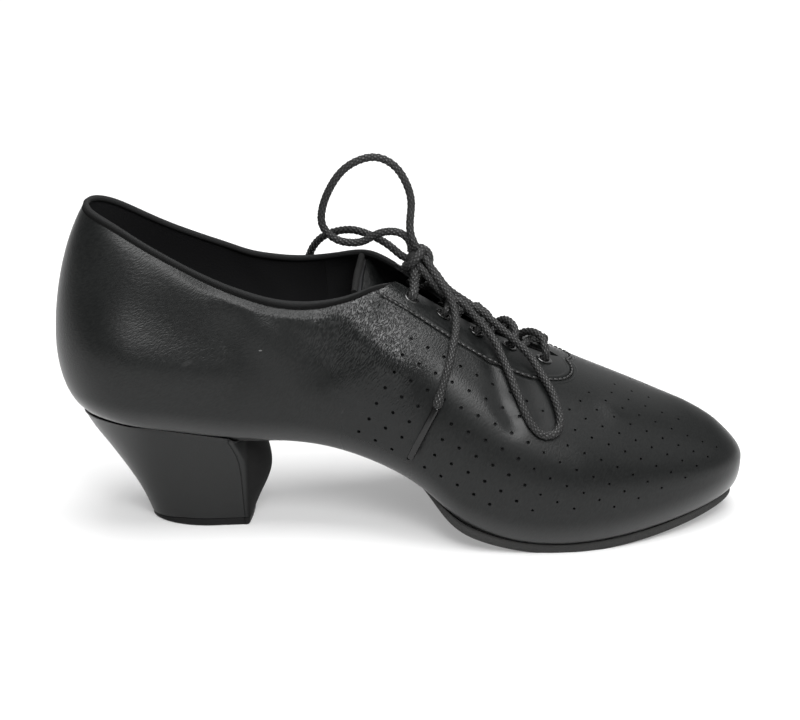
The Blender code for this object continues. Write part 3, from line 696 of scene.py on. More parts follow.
def hump(distance, width):
    """1 at no distance, fading away over a width."""
    return np.exp(-((distance / width) ** 2))


# The last's surface


def soft_ramp(distance, ease):
    """Nothing below zero, then a line that starts gently."""
    distance = np.maximum(distance, 0)
    return distance**2 / (distance + ease)


def ridge_along(x):
    """Where a section's ridge lies: sections fan out round the toe and round the heel."""
    toe_focus, toe_fan = LENGTH - 54, 0.62
    heel_focus, heel_fan = 62.0, 0.74
    ease = 14.0
    return x - toe_fan * soft_ramp(x - toe_focus, ease) + heel_fan * soft_ramp(heel_focus - x, ease)


def widest_line(x, side):
    """The y of the widest line, with both ends rounded off."""
    heel = np.clip((HEEL_ROUND - x) / HEEL_ROUND, 0, 1)
    toe = np.clip((x - (LENGTH - TOE_ROUND)) / TOE_ROUND, 0, 1)
    ends = np.sqrt(1 - heel**HEEL_FULLNESS) * np.sqrt(1 - toe**TOE_FULLNESS)
    return side * sided(LAST, x, side) * ends + TOE_SHIFT * toe**2 + last("middle", x)


def section(x, side):
    """The named sizes of the section at x on one side."""
    x_ridge = ridge_along(x)
    y_ridge = np.interp(x_ridge, RIDGE_SHIFT_SPAN, (0.0, RIDGE_SHIFT)) + last("middle", x_ridge)
    y_wide = widest_line(x, side)
    toward = np.stack([x_ridge - x, y_ridge - y_wide], -1)
    toward = toward / np.linalg.norm(toward, axis=-1, keepdims=True)
    tuck = sided(LAST, x, side, "tuck_")
    x_feather = x + toward[..., 0] * tuck
    z_feather = last("bottom", x_feather)
    z_wide = z_feather + last("belly", x)
    z_ridge = last("top", x_ridge)
    slope = last("top", x_ridge + 0.5) - last("top", x_ridge - 0.5)
    slope = np.where(x > CORNER, slope, 0.0)
    return {
        "ridge": (x_ridge, y_ridge, z_ridge),
        "wide": (x, y_wide, z_wide),
        "feather": (x_feather, y_wide + toward[..., 1] * tuck, z_feather),
        "toward": toward,
        "tuck": tuck,
        "slope": slope,
        "rise": z_ridge + slope * (x - x_ridge) - z_wide,
        "lean": last("lean", x),
    }


def surface(x, side, turn):
    """The leather's outer face."""
    x, side, turn = np.broadcast_arrays(*(np.asarray(v, float) for v in (x, side, turn)))
    s = section(x, side)
    (x_ridge, y_ridge, z_ridge), (_, y_wide, z_wide) = s["ridge"], s["wide"]
    up = np.clip(turn, 0, 1) * math.pi / 2
    x_up = x_ridge + (x - x_ridge) * np.cos(up)
    y_up = y_ridge + (y_wide - y_ridge) * np.abs(np.cos(up)) ** s["lean"]
    z_up = z_ridge + s["slope"] * (x_up - x_ridge) - s["rise"] * (1 - np.sin(up))
    down = np.clip(-turn, 0, 1) * math.pi / 2
    inset = s["tuck"] * (1 - np.cos(down))
    x_down = x + s["toward"][..., 0] * inset
    y_down = y_wide + s["toward"][..., 1] * inset
    z_down = z_wide - (z_wide - s["feather"][2]) * np.sin(down)
    above = turn >= 0
    return np.stack(
        [np.where(above, x_up, x_down), np.where(above, y_up, y_down), np.where(above, z_up, z_down)], -1
    )


def normal(x, side, turn):
    """The unit vector out of the leather's face."""
    x, side, turn = (np.asarray(v, float) for v in (x, side, turn))
    along = surface(x + SMALL_STEP, side, turn) - surface(x - SMALL_STEP, side, turn)
    over = surface(x, side, np.minimum(turn + SMALL_STEP, 1)) - surface(x, side, turn - SMALL_STEP)
    out = -np.cross(along, over) * side[..., None]
    return out / np.linalg.norm(out, axis=-1, keepdims=True)


def turn_at(x, side, from_ridge):
    """The turn at which the face lies from_ridge to the side of the ridge."""
    s = section(np.asarray(x, float), side)
    width = np.maximum(np.abs(s["wide"][1] - s["ridge"][1]), from_ridge + 1e-6)
    return np.arccos((from_ridge / width) ** (1 / s["lean"])) / (math.pi / 2)


def collar_turn(x, side):
    """The turn at which the collar's edge lies; at the corner it meets the throat's edge."""
    corner = [surface(CORNER, s, turn_at(CORNER, s, throat_edge(CORNER, s)))[2] for s in (-1, 1)]
    rows = {"along": np.append(COLLAR["along"], CORNER)}
    rows["inner"] = np.append(COLLAR["inner"], corner[0])
    rows["outer"] = np.append(COLLAR["outer"], corner[1])
    s = section(x, side)
    below = s["ridge"][2] - sided(rows, x, side)
    return np.arcsin(1 - below / s["rise"]) / (math.pi / 2)


def throat_edge(x, side):
    """How far the throat's edge lies from the ridge."""
    return np.maximum(sided(THROAT, np.asarray(x, float), side), 0.0)


def top_turn(x, side):
    """The turn of the upper's top edge: collar, throat, or the closed ridge in front of it."""
    collar = collar_turn(np.minimum(x, CORNER), side)
    in_throat = np.clip(x, CORNER, THROAT_END)
    throat = turn_at(in_throat, side, throat_edge(in_throat, side))
    return np.where(x < CORNER, collar, np.where(x < THROAT_END, throat, 1.0))


def stations(steps):
    """Places along the last, close together round heel and toe; both ends of the throat are among them."""
    heel = HEEL_ROUND * (1 - np.cos(np.linspace(0, math.pi / 2, steps["heel"] + 1)))
    quarter = np.linspace(HEEL_ROUND, CORNER, steps["quarter"] + 1)[1:]
    throat = np.linspace(CORNER, THROAT_END, steps["throat"] + 1)[1:]
    toe = LENGTH - TOE_ROUND * (1 - np.cos(np.linspace(math.pi / 2, 0, steps["toe"] + 1)))
    return np.concatenate([heel, quarter, throat, toe])


def loop_round(steps):
    """The stations once round the foot: toe, inner side, heel, outer side."""
    x = stations(steps)
    sides = np.concatenate([-np.ones(len(x)), np.ones(len(x) - 2)])
    return np.concatenate([x[::-1], x[1:-1]]), sides


# Placing in the frame

knot_low, knot_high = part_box("lace_knot")
SHIFT = np.array((knot_low + knot_high) / 2 / MM) - np.array(KNOT_PLACE)


def to_frame(points):
    """Points along the last as points of the frame, in metres."""
    return (np.asarray(points, float) + SHIFT) * MM


def mesh_of(name, points, faces, sharp=40, marks=None):
    """A mesh in the frame from points in millimetres, welded and facing out, with marks at its points."""
    mesh = bpy.data.meshes.new(name)
    mesh.from_pydata(to_frame(points).tolist(), [], faces)
    for label, values in (marks or {}).items():
        mesh.attributes.new(label, "FLOAT", "POINT").data.foreach_set("value", np.ravel(values))
    work = bmesh.new()
    work.from_mesh(mesh)
    bmesh.ops.remove_doubles(work, verts=work.verts, dist=WELD * MM)
    bmesh.ops.recalc_face_normals(work, faces=work.faces)
    work.to_mesh(mesh)
    work.free()
    mesh.shade_smooth()
    mesh.set_sharp_from_angle(angle=math.radians(sharp))
    return mesh


def grid_faces(rows, across, closed, start=0):
    """Quads of a grid stored row after row; closed joins the last column to the first."""
    quads = []
    for i in range(rows - 1):
        for j in range(across if closed else across - 1):
            k = (j + 1) % across
            here, above = start + i * across, start + (i + 1) * across
            quads.append([here + j, here + k, above + k, above + j])
    return quads


def slab(name, above, below, sharp=40):
    """A closed sheet between two open grids of the same shape, rows by columns."""
    rows, across = above.shape[:2]
    count = rows * across
    faces = grid_faces(rows, across, False) + grid_faces(rows, across, False, count)
    edge = [(0, j) for j in range(across)]
    edge += [(i, across - 1) for i in range(1, rows)]
    edge += [(rows - 1, j) for j in range(across - 2, -1, -1)]
    edge += [(i, 0) for i in range(rows - 2, 0, -1)]
    ring = [i * across + j for i, j in edge]
    for a, b in zip(ring, ring[1:] + ring[:1]):
        faces.append([a, b, count + b, count + a])
    return mesh_of(name, np.concatenate([above.reshape(-1, 3), below.reshape(-1, 3)]), faces, sharp)


def lofted(name, rings, sharp=40, marks=None):
    """A closed body through rings of the same count, with its two end rings filled."""
    rings = np.asarray(rings)
    levels, around = rings.shape[:2]
    faces = grid_faces(levels, around, True)
    faces.append(list(range(around)))
    faces.append(list(range((levels - 1) * around, levels * around)))
    return mesh_of(name, rings.reshape(-1, 3), faces, sharp, marks)


def piece(name, mesh, finish, slot, *nodes):
    """A finished piece of the shoe, and the nodes that it stands for."""
    made = bpy.data.objects.new(name, mesh)
    bpy.context.collection.objects.link(made)
    mesh.materials.clear()
    mesh.materials.append(finish)
    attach(made, "root")
    if nodes:
        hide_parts(*nodes)
    return made


def made_plain(helper):
    """The helper's evaluated mesh as a plain one; the helper goes."""
    bpy.context.view_layer.update()
    finished = helper.evaluated_get(bpy.context.evaluated_depsgraph_get())
    mesh = bpy.data.meshes.new_from_object(finished)
    bpy.data.objects.remove(helper)
    return mesh


# Node trees written as expressions


class Wire:
    """An output socket that can stand in an expression."""

    def __init__(self, graph, socket):
        self.graph = graph
        self.socket = socket

    def math(self, operation, *values):
        return self.graph.node("ShaderNodeMath", {"operation": operation}, dict(enumerate(values)))

    def __add__(self, other):
        return self.math("ADD", self, other)

    def __sub__(self, other):
        return self.math("SUBTRACT", self, other)

    def __rsub__(self, other):
        return self.math("SUBTRACT", other, self)

    def __mul__(self, other):
        return self.math("MULTIPLY", self, other)

    def __abs__(self):
        return self.math("ABSOLUTE", self)

    __radd__ = __add__
    __rmul__ = __mul__

    def between(self, low, high):
        """0 below low, 1 above high, smooth in between."""
        settings = {"interpolation_type": "SMOOTHSTEP"}
        return self.graph.node("ShaderNodeMapRange", settings, {0: self, 1: low, 2: high})


class Graph:
    """A node tree that is filled node by node."""

    def __init__(self, tree):
        self.tree = tree

    def node(self, kind, settings=None, sockets=None, output=0):
        """A node of any type: its settings first, then the values or links of its sockets."""
        made = self.tree.nodes.new(kind)
        for key, value in (settings or {}).items():
            setattr(made, key, value)
        for key, value in (sockets or {}).items():
            if isinstance(value, Wire):
                self.tree.links.new(value.socket, made.inputs[key])
            else:
                made.inputs[key].default_value = value
        return Wire(self, made.outputs[output])


class Finish(Graph):
    """A material with one Principled shader; constants go straight onto its sockets."""

    def __init__(self, name, **constants):
        self.material = bpy.data.materials.new(name)
        self.material.use_nodes = True
        super().__init__(self.material.node_tree)
        self.shader = self.tree.nodes["Principled BSDF"]
        for key, value in constants.items():
            label = key.replace("_", " ").title().replace("Ior", "IOR")
            self.shader.inputs[label].default_value = value

    def feed(self, name, wire):
        self.tree.links.new(wire.socket, self.shader.inputs[name])

    def vector(self, operation, *values, output=0, **named):
        sockets = {**dict(enumerate(values)), **named}
        return self.node("ShaderNodeVectorMath", {"operation": operation}, sockets, output)

    def place(self):
        """Millimetres along the last, from the object's coordinates."""
        spot = self.node("ShaderNodeTexCoord", output="Object")
        return self.vector("SUBTRACT", self.vector("SCALE", spot, Scale=1 / MM), tuple(SHIFT))

    def axis(self, place, letter):
        return self.node("ShaderNodeSeparateXYZ", {}, {0: place}, output=letter)

    def mark(self, label):
        """A value that the piece keeps at its points."""
        return self.node("ShaderNodeAttribute", {"attribute_name": label}, output="Fac")

    def swayed(self, place, scale, amount):
        """The place moved about by a soft noise."""
        sockets = {"Vector": place, "Scale": scale, "Detail": 2.0}
        drift = self.node("ShaderNodeTexNoise", {}, sockets, output="Color")
        return self.vector("ADD", place, self.vector("SCALE", drift, Scale=amount))

    def mapped(self, place, rise, scale):
        """The place turned by an angle in the shoe's long upright plane, then scaled."""
        turned = {"Vector": place, "Rotation": (0.0, math.radians(rise), 0.0)}
        return self.vector("MULTIPLY", self.node("ShaderNodeMapping", {}, turned), scale)

    def noise(self, place, scale, detail=2.0):
        sockets = {"Vector": place, "Scale": scale, "Detail": detail}
        return self.node("ShaderNodeTexNoise", {}, sockets)

    def cell_edges(self, place, scale):
        sockets = {"Vector": place, "Scale": scale}
        return self.node("ShaderNodeTexVoronoi", {"feature": "DISTANCE_TO_EDGE"}, sockets)

    def blended(self, share, first, second):
        """A colour between two, by a share from 0 to 1."""
        ends = [end if isinstance(end, Wire) else (*end, 1.0) for end in (first, second)]
        sockets = {0: share, 6: ends[0], 7: ends[1]}
        return self.node("ShaderNodeMix", {"data_type": "RGBA"}, sockets, output=2)

    def bump(self, height, depth):
        """Relief by a height, times a depth in millimetres."""
        sockets = {"Height": height, "Distance": depth * MM}
        self.feed("Normal", self.node("ShaderNodeBump", {}, sockets))


# Finishes


def wrinkles(finish, place, rise):
    """Fine creases of the leather at an angle to the floor, from 0 in a crease to 1 beside it."""
    across = finish.mapped(place, rise, (0.5, 1.0, 1.9))
    crease = finish.cell_edges(across, 1.2).between(0.0, 0.35)
    return 0.2 * crease + 0.8 * finish.noise(across, 1.25, 0.6).between(0.25, 0.75)


def black_leather(name, seamed):
    """Soft black leather, smoother where the foot flexes it.

    Seamed leather also has the facing's stitch groove, a smoother facing, a glossy hem, and glossy crests
    between the creases of the flexed part.
    """
    finish = Finish(name, specular_ior_level=0.28, coat_roughness=0.36)
    place = finish.place()
    x, z = finish.axis(place, "X"), finish.axis(place, "Z")
    swayed = finish.swayed(place, 0.16, 2.4)
    rear, front = wrinkles(finish, swayed, 27), wrinkles(finish, swayed, 62)
    grain = rear + (front - rear) * x.between(50.0, 95.0)
    patches = finish.noise(place, 0.045, 2.0)
    quarter = 0.24 + 0.26 * x.between(45.0, 85.0) + 0.5 * x.between(72.0, 114.0)
    vamp = 1 - 0.55 * x.between(122.0, 136.0) - 0.22 * x.between(180.0, 210.0)
    collar = 0.25 + 0.75 * z.between(54.0, 72.0)
    flexed = x.between(78.0, 112.0) * (1 - x.between(116.0, 134.0))
    strength = (0.75 + 0.5 * patches) * quarter * vamp * collar * (1 + 0.3 * flexed)
    low = 0.0
    if seamed:
        seam, hem = finish.mark("seam"), finish.mark("hem")
        strength = strength * (1 - 0.7 * seam.between(-0.3, 0.8))
        groove = 1 - abs(seam).between(0.15, 0.95)
        lips = 1 - abs(abs(seam) - 1.5).between(0.0, 0.9)
        edge = (1 - abs(seam + FACING_EDGE_AWAY).between(0.05, 0.5)) * x.between(168.0, 174.0)
        low = GROOVE_DEPTH * groove + 0.5 * GROOVE_DEPTH * edge - 0.3 * GROOVE_DEPTH * lips
        crests = flexed * z.between(60.0, 72.0) * grain.between(0.4, 0.75)
        finish.feed("Coat Weight", HEM_GLOSS * (1 - hem.between(1.0, 10.0)) + FLEX_GLOSS * crests)
    finish.bump(GRAIN_DEPTH * strength * grain - low, 1.0)
    finish.feed("Roughness", 0.32 + 0.08 * patches - 0.13 * flexed)
    # Darker in the creases and troughs of the grain's relief: painted shade.
    colour = finish.blended(grain, (0.0035, 0.004, 0.004), (0.0078, 0.0085, 0.0083))
    for spot in SCUFFS:
        colour = finish.blended(scuff(finish, place, *spot), colour, (0.2, 0.2, 0.2))
    finish.feed("Base Color", colour)
    return finish.material


def scuff(finish, place, x, z, length, width, rise, pale):
    """The share of a small rubbed mark on the inner side."""
    moved = finish.vector("SUBTRACT", finish.swayed(place, 0.9, 0.5), (x + 0.25, 0.0, z + 0.25))
    turned = finish.mapped(moved, rise, (1 / length, 0.0, 1 / width))
    away = finish.vector("LENGTH", turned, output="Value")
    inner = 1 - finish.axis(place, "Y").between(-6.0, -2.0)
    return (1 - away.between(0.25, 0.6)) * inner * pale


def lining_cloth():
    """Black cloth, joined at a seam across the quarter; the part ahead of the seam is a little lighter."""
    finish = Finish("lining_cloth", roughness=0.9, specular_ior_level=0.1)
    place = finish.place()
    x = finish.axis(place, "X") + LINING_SEAM_LEAN * finish.axis(place, "Z")
    weave = finish.noise(place, 1.8, 2.0)
    groove = 1 - abs(x - LINING_SEAM).between(0.1, 0.6)
    finish.bump(0.1 * weave - 0.25 * groove, 1.0)
    ahead = x.between(LINING_SEAM - 0.3, LINING_SEAM + 0.3)
    finish.feed("Base Color", finish.blended(ahead, (0.018, 0.018, 0.019), (0.024, 0.024, 0.025)))
    return finish.material


def binding_cloth():
    """Dull binding with painted light: a painted highlight along its top, painted shade down its faces, and
    near black in the strip of painted shadow below its edge.
    """
    finish = Finish("collar_binding", roughness=0.8, specular_ior_level=0.12)
    grain = finish.noise(finish.place(), 2.4, 3.0)
    finish.bump(grain, 0.12)
    painted_light = (0.4 + grain) * finish.mark("painted_light")
    # Near black is painted shade and painted shadow; the lighter end is the painted highlight on the top.
    finish.feed("Base Color", finish.blended(painted_light, (0.0008, 0.0008, 0.0008), (0.019, 0.0193, 0.0195)))
    return finish.material


def plain_finish(name, dark, light, roughness, scale, depth, mirror):
    """A finish with one even grain."""
    finish = Finish(name, roughness=roughness, specular_ior_level=mirror)
    grain = finish.noise(finish.place(), scale, 3.0)
    finish.bump(grain, depth)
    finish.feed("Base Color", finish.blended(grain, dark, light))
    return finish.material


def lace_braid():
    """Waxed braid: the crown of each strand is glossier than the gaps between strands, and the base colour
    is darkened in the gaps as painted shade.
    """
    finish = Finish("lace_braid", specular_ior_level=0.6)
    fibre = finish.noise(finish.place(), 4.0, 2.0)
    crown = finish.mark("plait").between(0.45, 0.95)
    finish.bump(fibre, 0.05)
    finish.feed("Roughness", 0.8 - 0.57 * crown)
    # Darker in the gaps between strands, lighter on the crowns: painted shade.
    finish.feed("Base Color", finish.blended(crown, (0.0015, 0.0015, 0.0015), (0.008, 0.0082, 0.008)))
    return finish.material


def heel_cover():
    """Smooth leather, glossier at the back and duller on the breast, whose base colour is darkened there as
    painted shade.
    """
    finish = Finish("heel_cover", specular_ior_level=0.32, coat_roughness=0.4)
    place = finish.place()
    x = finish.axis(place, "X")
    grain = finish.noise(place, 1.6, 3.0)
    breast = x.between(65.0, 66.8)
    finish.bump(grain, 0.04)
    finish.feed("Roughness", 0.4 + 0.5 * breast)
    finish.feed("Coat Weight", 0.5 * (1 - x.between(18.0, 36.0)))
    # The breast's darker base colour is painted shade.
    finish.feed("Base Color", finish.blended(breast, (0.008, 0.0085, 0.0084), (0.003, 0.003, 0.003)))
    return finish.material


# Plain finishes: dark and light colour, roughness, the grain's scale and depth, and how much they mirror
PLAIN_FINISHES = {
    "thread": ("stitch_thread", (0.014, 0.014, 0.014), (0.036, 0.036, 0.0355), 0.32, 3.0, 0.04, 0.5),
    # The needle's holes get near-black dots of painted shade.
    "hole": ("painted_needle_shade", (0.001, 0.001, 0.001), (0.002, 0.002, 0.002), 0.95, 1.0, 0.01, 0.5),
    "suede": ("suede_sole", (0.012, 0.012, 0.012), (0.04, 0.04, 0.039), 0.95, 3.0, 0.25, 0.5),
    "rubber": ("heel_rubber", (0.002, 0.002, 0.0021), (0.0045, 0.0045, 0.0045), 0.6, 2.0, 0.04, 0.25),
    "metal": ("eyelet_metal", (0.005, 0.005, 0.0052), (0.008, 0.008, 0.008), 0.14, 2.0, 0.01, 1.0),
    "plastic": ("aglet_plastic", (0.0015, 0.0015, 0.0016), (0.003, 0.003, 0.003), 0.15, 1.0, 0.01, 0.4),
    "edge": ("tongue_edge", (0.004, 0.004, 0.004), (0.011, 0.011, 0.011), 0.8, 2.2, 0.2, 0.2),
    "sock": ("sock_lining", (0.006, 0.006, 0.0063), (0.012, 0.012, 0.0125), 0.8, 1.2, 0.1, 0.5),
}
FINISHES = {key: plain_finish(*row) for key, row in PLAIN_FINISHES.items()}
FINISHES["leather"] = black_leather("upper_leather", True)
FINISHES["tongue"] = black_leather("tongue_leather", False)
FINISHES["lining"] = lining_cloth()
FINISHES["binding"] = binding_cloth()
FINISHES["heel"] = heel_cover()
FINISHES["braid"] = lace_braid()


# Things set out in numbers on the leather


def scatter_tree():
    """Copies of one piece at points, each stood on its aim and turned along its run."""
    tree = bpy.data.node_groups.new("set_out_on_leather", "GeometryNodeTree")
    inputs = {
        "Geometry": "Geometry",
        "Piece": "Object",
        "Size": "Float",
        "Wander": "Float",
        "Finish": "Material",
    }
    for label, kind in inputs.items():
        tree.interface.new_socket(label, in_out="INPUT", socket_type=f"NodeSocket{kind}")
    tree.interface.new_socket("Geometry", in_out="OUTPUT", socket_type="NodeSocketGeometry")
    graph = Graph(tree)
    source = tree.nodes.new("NodeGroupInput")
    given = {label: Wire(graph, source.outputs[label]) for label in inputs}
    points = graph.node("GeometryNodeMeshToPoints", {}, {"Mesh": given["Geometry"]})
    vector = {"data_type": "FLOAT_VECTOR"}
    aim = graph.node("GeometryNodeInputNamedAttribute", vector, {"Name": "aim"})
    run = graph.node("GeometryNodeInputNamedAttribute", vector, {"Name": "run"})
    axes = {"primary_axis": "Z", "secondary_axis": "X"}
    stood = graph.node("FunctionNodeAxesToRotation", axes, {"Primary Axis": aim, "Secondary Axis": run})
    most = given["Wander"]
    sway = graph.node("FunctionNodeRandomValue", vector, {0: 0 - most, 1: most, "Seed": 7})
    turn = graph.node("FunctionNodeEulerToRotation", {}, {"Euler": sway})
    swayed = graph.node("FunctionNodeRotateRotation", {"rotation_space": "LOCAL"}, {0: stood, 1: turn})
    model = graph.node("GeometryNodeObjectInfo", {}, {"Object": given["Piece"]}, output="Geometry")
    placed = {"Points": points, "Instance": model, "Rotation": swayed, "Scale": given["Size"]}
    copies = graph.node("GeometryNodeInstanceOnPoints", {}, placed)
    whole = graph.node("GeometryNodeRealizeInstances", {}, {"Geometry": copies})
    done = graph.node("GeometryNodeSetMaterial", {}, {"Geometry": whole, "Material": given["Finish"]})
    tree.links.new(done.socket, tree.nodes.new("NodeGroupOutput").inputs[0])
    return tree


SCATTER = scatter_tree()


def scattered(name, places, aims, runs, template, finish, wander=0.0, size=1.0):
    """One mesh of copies of a template, whose own mesh is in metres about its foot."""
    carrier = bpy.data.meshes.new(name)
    carrier.from_pydata(to_frame(places).tolist(), [], [])
    for label, vectors in (("aim", aims), ("run", runs)):
        column = carrier.attributes.new(label, "FLOAT_VECTOR", "POINT")
        column.data.foreach_set("vector", np.asarray(vectors, float).ravel())
    model = bpy.data.objects.new(f"{name}_model", template)
    helper = bpy.data.objects.new(name, carrier)
    for made in (model, helper):
        bpy.context.collection.objects.link(made)
    modifier = helper.modifiers.new("set_out", "NODES")
    modifier.node_group = SCATTER
    settings = {"Piece": model, "Size": size, "Wander": wander, "Finish": finish}
    for item in SCATTER.interface.items_tree:
        if item.in_out == "INPUT" and item.name in settings:
            modifier[item.identifier] = settings[item.name]
    mesh = made_plain(helper)
    bpy.data.objects.remove(model)
    for label in ("aim", "run"):
        if label in mesh.attributes:
            mesh.attributes.remove(mesh.attributes[label])
    return mesh


def turned_mesh(name, profile, segments):
    """A body turned about Z from radius and height, with a profile that ends on the axis or at its start."""
    points = []
    for radius, height in profile:
        for angle in np.linspace(0, 2 * math.pi, segments, endpoint=False):
            points.append((radius * math.cos(angle), radius * math.sin(angle), height))
    return mesh_of(name, np.array(points) - SHIFT, grid_faces(len(profile), segments, True))


# The upper


def distance_to(path, points):
    """How far each point lies from a path of straight stretches."""
    flat = points.reshape(-1, 3)
    nearest = np.full(len(flat), np.inf)
    for start, end in zip(path[:-1], path[1:]):
        run = end - start
        share = np.clip((flat - start) @ run / (run @ run), 0, 1)
        nearest = np.minimum(nearest, np.linalg.norm(flat - start - share[:, None] * run, axis=1))
    return nearest.reshape(points.shape[:-1])


def guided(rows, step):
    """A path of along and turn, made smooth."""
    guide = smooth_curve([(x, turn * TURN_LENGTH, 0.0) for x, turn in rows], step)
    guide[:, 1] /= TURN_LENGTH
    return guide


def laid(rows, side, step):
    """Points about step apart along a path of along and turn on one side's leather, and the ways out."""
    guide = guided(rows, 0.5)
    place = guide[:, 0], np.full(len(guide), float(side)), np.minimum(guide[:, 1], 1.0)
    face, out = surface(*place), normal(*place)
    run = run_along(face)
    at = np.linspace(0, run[-1], max(int(round(run[-1] / step)), 2) + 1)
    return [np.stack([np.interp(at, run, line[:, i]) for i in range(3)], -1) for line in (face, out)]


def binding_width(x):
    """How far the binding reaches down the leather."""
    return np.interp(x, *columns(BINDING_COLUMNS, BINDING_ROWS).values())


def mark_seam(mesh):
    """Keeps each point's way to the facing's stitch line and its height over the feather edge.

    The way is plus on the facing and minus beside it.
    """
    flat = np.empty(3 * len(mesh.vertices))
    mesh.vertices.foreach_get("co", flat)
    points = flat.reshape(-1, 3) / MM - SHIFT
    nearest, signed = np.full(len(points), np.inf), np.zeros(len(points))
    for side in (-1, 1):
        path, out = laid(FACING_STITCH, side, SEAM_STEP)
        for start, end, away in zip(path[:-1], path[1:], out[:-1]):
            run = end - start
            share = np.clip((points - start) @ run / (run @ run), 0, 1)
            gap = points - start - share[:, None] * run
            reach = np.linalg.norm(gap, axis=1)
            closer = reach < nearest
            toward = np.sign(gap @ np.cross(away, run)) * -side
            nearest = np.where(closer, reach, nearest)
            signed = np.where(closer, reach * toward, signed)
    # Behind the line's start all the leather lies beside the facing
    signed = np.where(points[:, 0] < FACING_STITCH[0][0] - 1.0, -nearest, signed)
    hem = points[:, 2] - last("bottom", points[:, 0])
    marks = {"seam": np.clip(signed, -SEAM_REACH, SEAM_REACH), "hem": np.clip(hem, 0, HEM_REACH)}
    for label, values in marks.items():
        mesh.attributes.new(label, "FLOAT", "POINT").data.foreach_set("value", values)


def upper_grid(steps):
    """The leather's outer face as a grid of rows by stations, with its normals."""
    x, side = loop_round(steps)
    top = top_turn(x, side)
    lower = np.linspace(-1, 0, steps["lower"] + 1)
    upper = 1 - (1 - np.linspace(0, 1, steps["upper"] + 1)[1:]) ** ROW_CROWDING
    rows = [surface(x, side, turn) for turn in lower]
    rows += [surface(x, side, turn * top) for turn in upper]
    outside = np.stack(rows)
    along = np.roll(outside, -1, axis=1) - np.roll(outside, 1, axis=1)
    over = np.gradient(outside, axis=0)
    out = np.cross(over, along)
    out /= np.linalg.norm(out, axis=-1, keepdims=True)
    closed = top >= 1.0
    for index in np.flatnonzero(closed):
        pair = np.flatnonzero((x == x[index]) & (side != side[index]))
        shared = out[-1, index] + (out[-1, pair[0]] if len(pair) else 0)
        shared[1] = shared[1] if len(pair) else 0.0
        out[-1, [index, *pair]] = shared / np.linalg.norm(shared)
    drop = np.linalg.norm(np.diff(outside, axis=0), axis=-1)
    from_top = np.concatenate([np.cumsum(drop[::-1], axis=0)[::-1], np.zeros((1, len(x)))])
    return {
        "x": x,
        "side": side,
        "outside": outside,
        "out": out,
        "closed": closed,
        "from_top": from_top,
    }


def folded(points):
    """How far the folds lift the leather at points of the last's face."""
    height = np.zeros(points.shape[:-1])
    for side, path, reach, amount in FOLDS:
        height += amount * hump(distance_to(laid(path, side, FOLD_STEP)[0], points), reach)
    return height


def relief(grid):
    """How far the leather stands out of the last's own face: the collar's roll, folds and stitch lines."""
    points, from_top = grid["outside"], grid["from_top"]
    behind_corner = 1 - soft_step(grid["x"], *ROLL_ENDS)
    width = binding_width(grid["x"])
    crest = width + ROLL_CREST
    roll = soft_step(from_top, width - ROLL_START, crest)
    firm = np.interp(grid["x"], ROLL_STIFFENS, (0.0, 1.0))
    swell = firm * roll * hump(np.maximum(from_top - crest, 0), ROLL_FADE)
    swell = swell - ROLL_SINK * np.maximum(firm, ROLL_SOFTEST) * (1 - roll)
    height = swell * behind_corner + folded(points)
    seams = [laid(FACING_STITCH, side, SEAM_STEP)[0] for side in (-1, 1)]
    stitch = np.minimum(*(distance_to(seam, points) for seam in seams))
    return height - DRAWN_DEPTH * hump(stitch, DRAWN_REACH)


def sunk(height, spare):
    """How far a wall gives way under a fold that is deeper than its spare thickness."""
    return np.minimum(height + spare, 0)


def shell(name, grid, outer, inner):
    """A closed wall between two depths under the last's face, with the lasting margin turned under."""
    toward = section(grid["x"], grid["side"])["toward"]
    layers = []
    for depth in (outer, inner):
        face = grid["outside"] - depth[..., None] * grid["out"]
        under = float(np.mean(depth[0]))
        face[0] = grid["outside"][0] + under * np.concatenate([toward, np.ones((len(toward), 1))], -1)
        turned_in = face[0].copy()
        turned_in[:, :2] += LASTING_MARGIN * toward
        turned_in[:, 2] = last("bottom", turned_in[:, 0]) + under
        layers.append(np.concatenate([turned_in[None], face]))
    rows, around = layers[0].shape[:2]
    count = rows * around
    faces = grid_faces(rows, around, True) + grid_faces(rows, around, True, count)
    top = (rows - 1) * around
    for j in range(around):
        k = (j + 1) % around
        faces.append([j, k, count + k, count + j])
        if not (grid["closed"][j] and grid["closed"][k]):
            faces.append([top + j, top + k, count + top + k, count + top + j])
    return mesh_of(name, np.concatenate([layer.reshape(-1, 3) for layer in layers]), faces)


def over_ridge(x, turn):
    """The inner side's face, carried on over the ridge for turns past 1."""
    past = np.asarray(turn) > 1
    return surface(x, np.where(past, 1.0, -1.0), np.where(past, 2 - turn, turn))


def evenly(rows, fixed):
    """Places one hole's step apart along a path, and how many lie before the one on its fixed row."""
    guide = guided(rows, 0.4)
    run = run_along(over_ridge(guide[:, 0], guide[:, 1]))
    x, turn = rows[fixed]
    first = np.argmin(np.hypot(guide[:, 0] - x, TURN_LENGTH * (guide[:, 1] - turn)))
    before = math.floor(run[first] / HOLE_STEP)
    at = np.arange(run[first] - HOLE_STEP * before, run[-1], HOLE_STEP)
    return np.stack([np.interp(at, run, guide[:, i]) for i in range(2)], -1), before


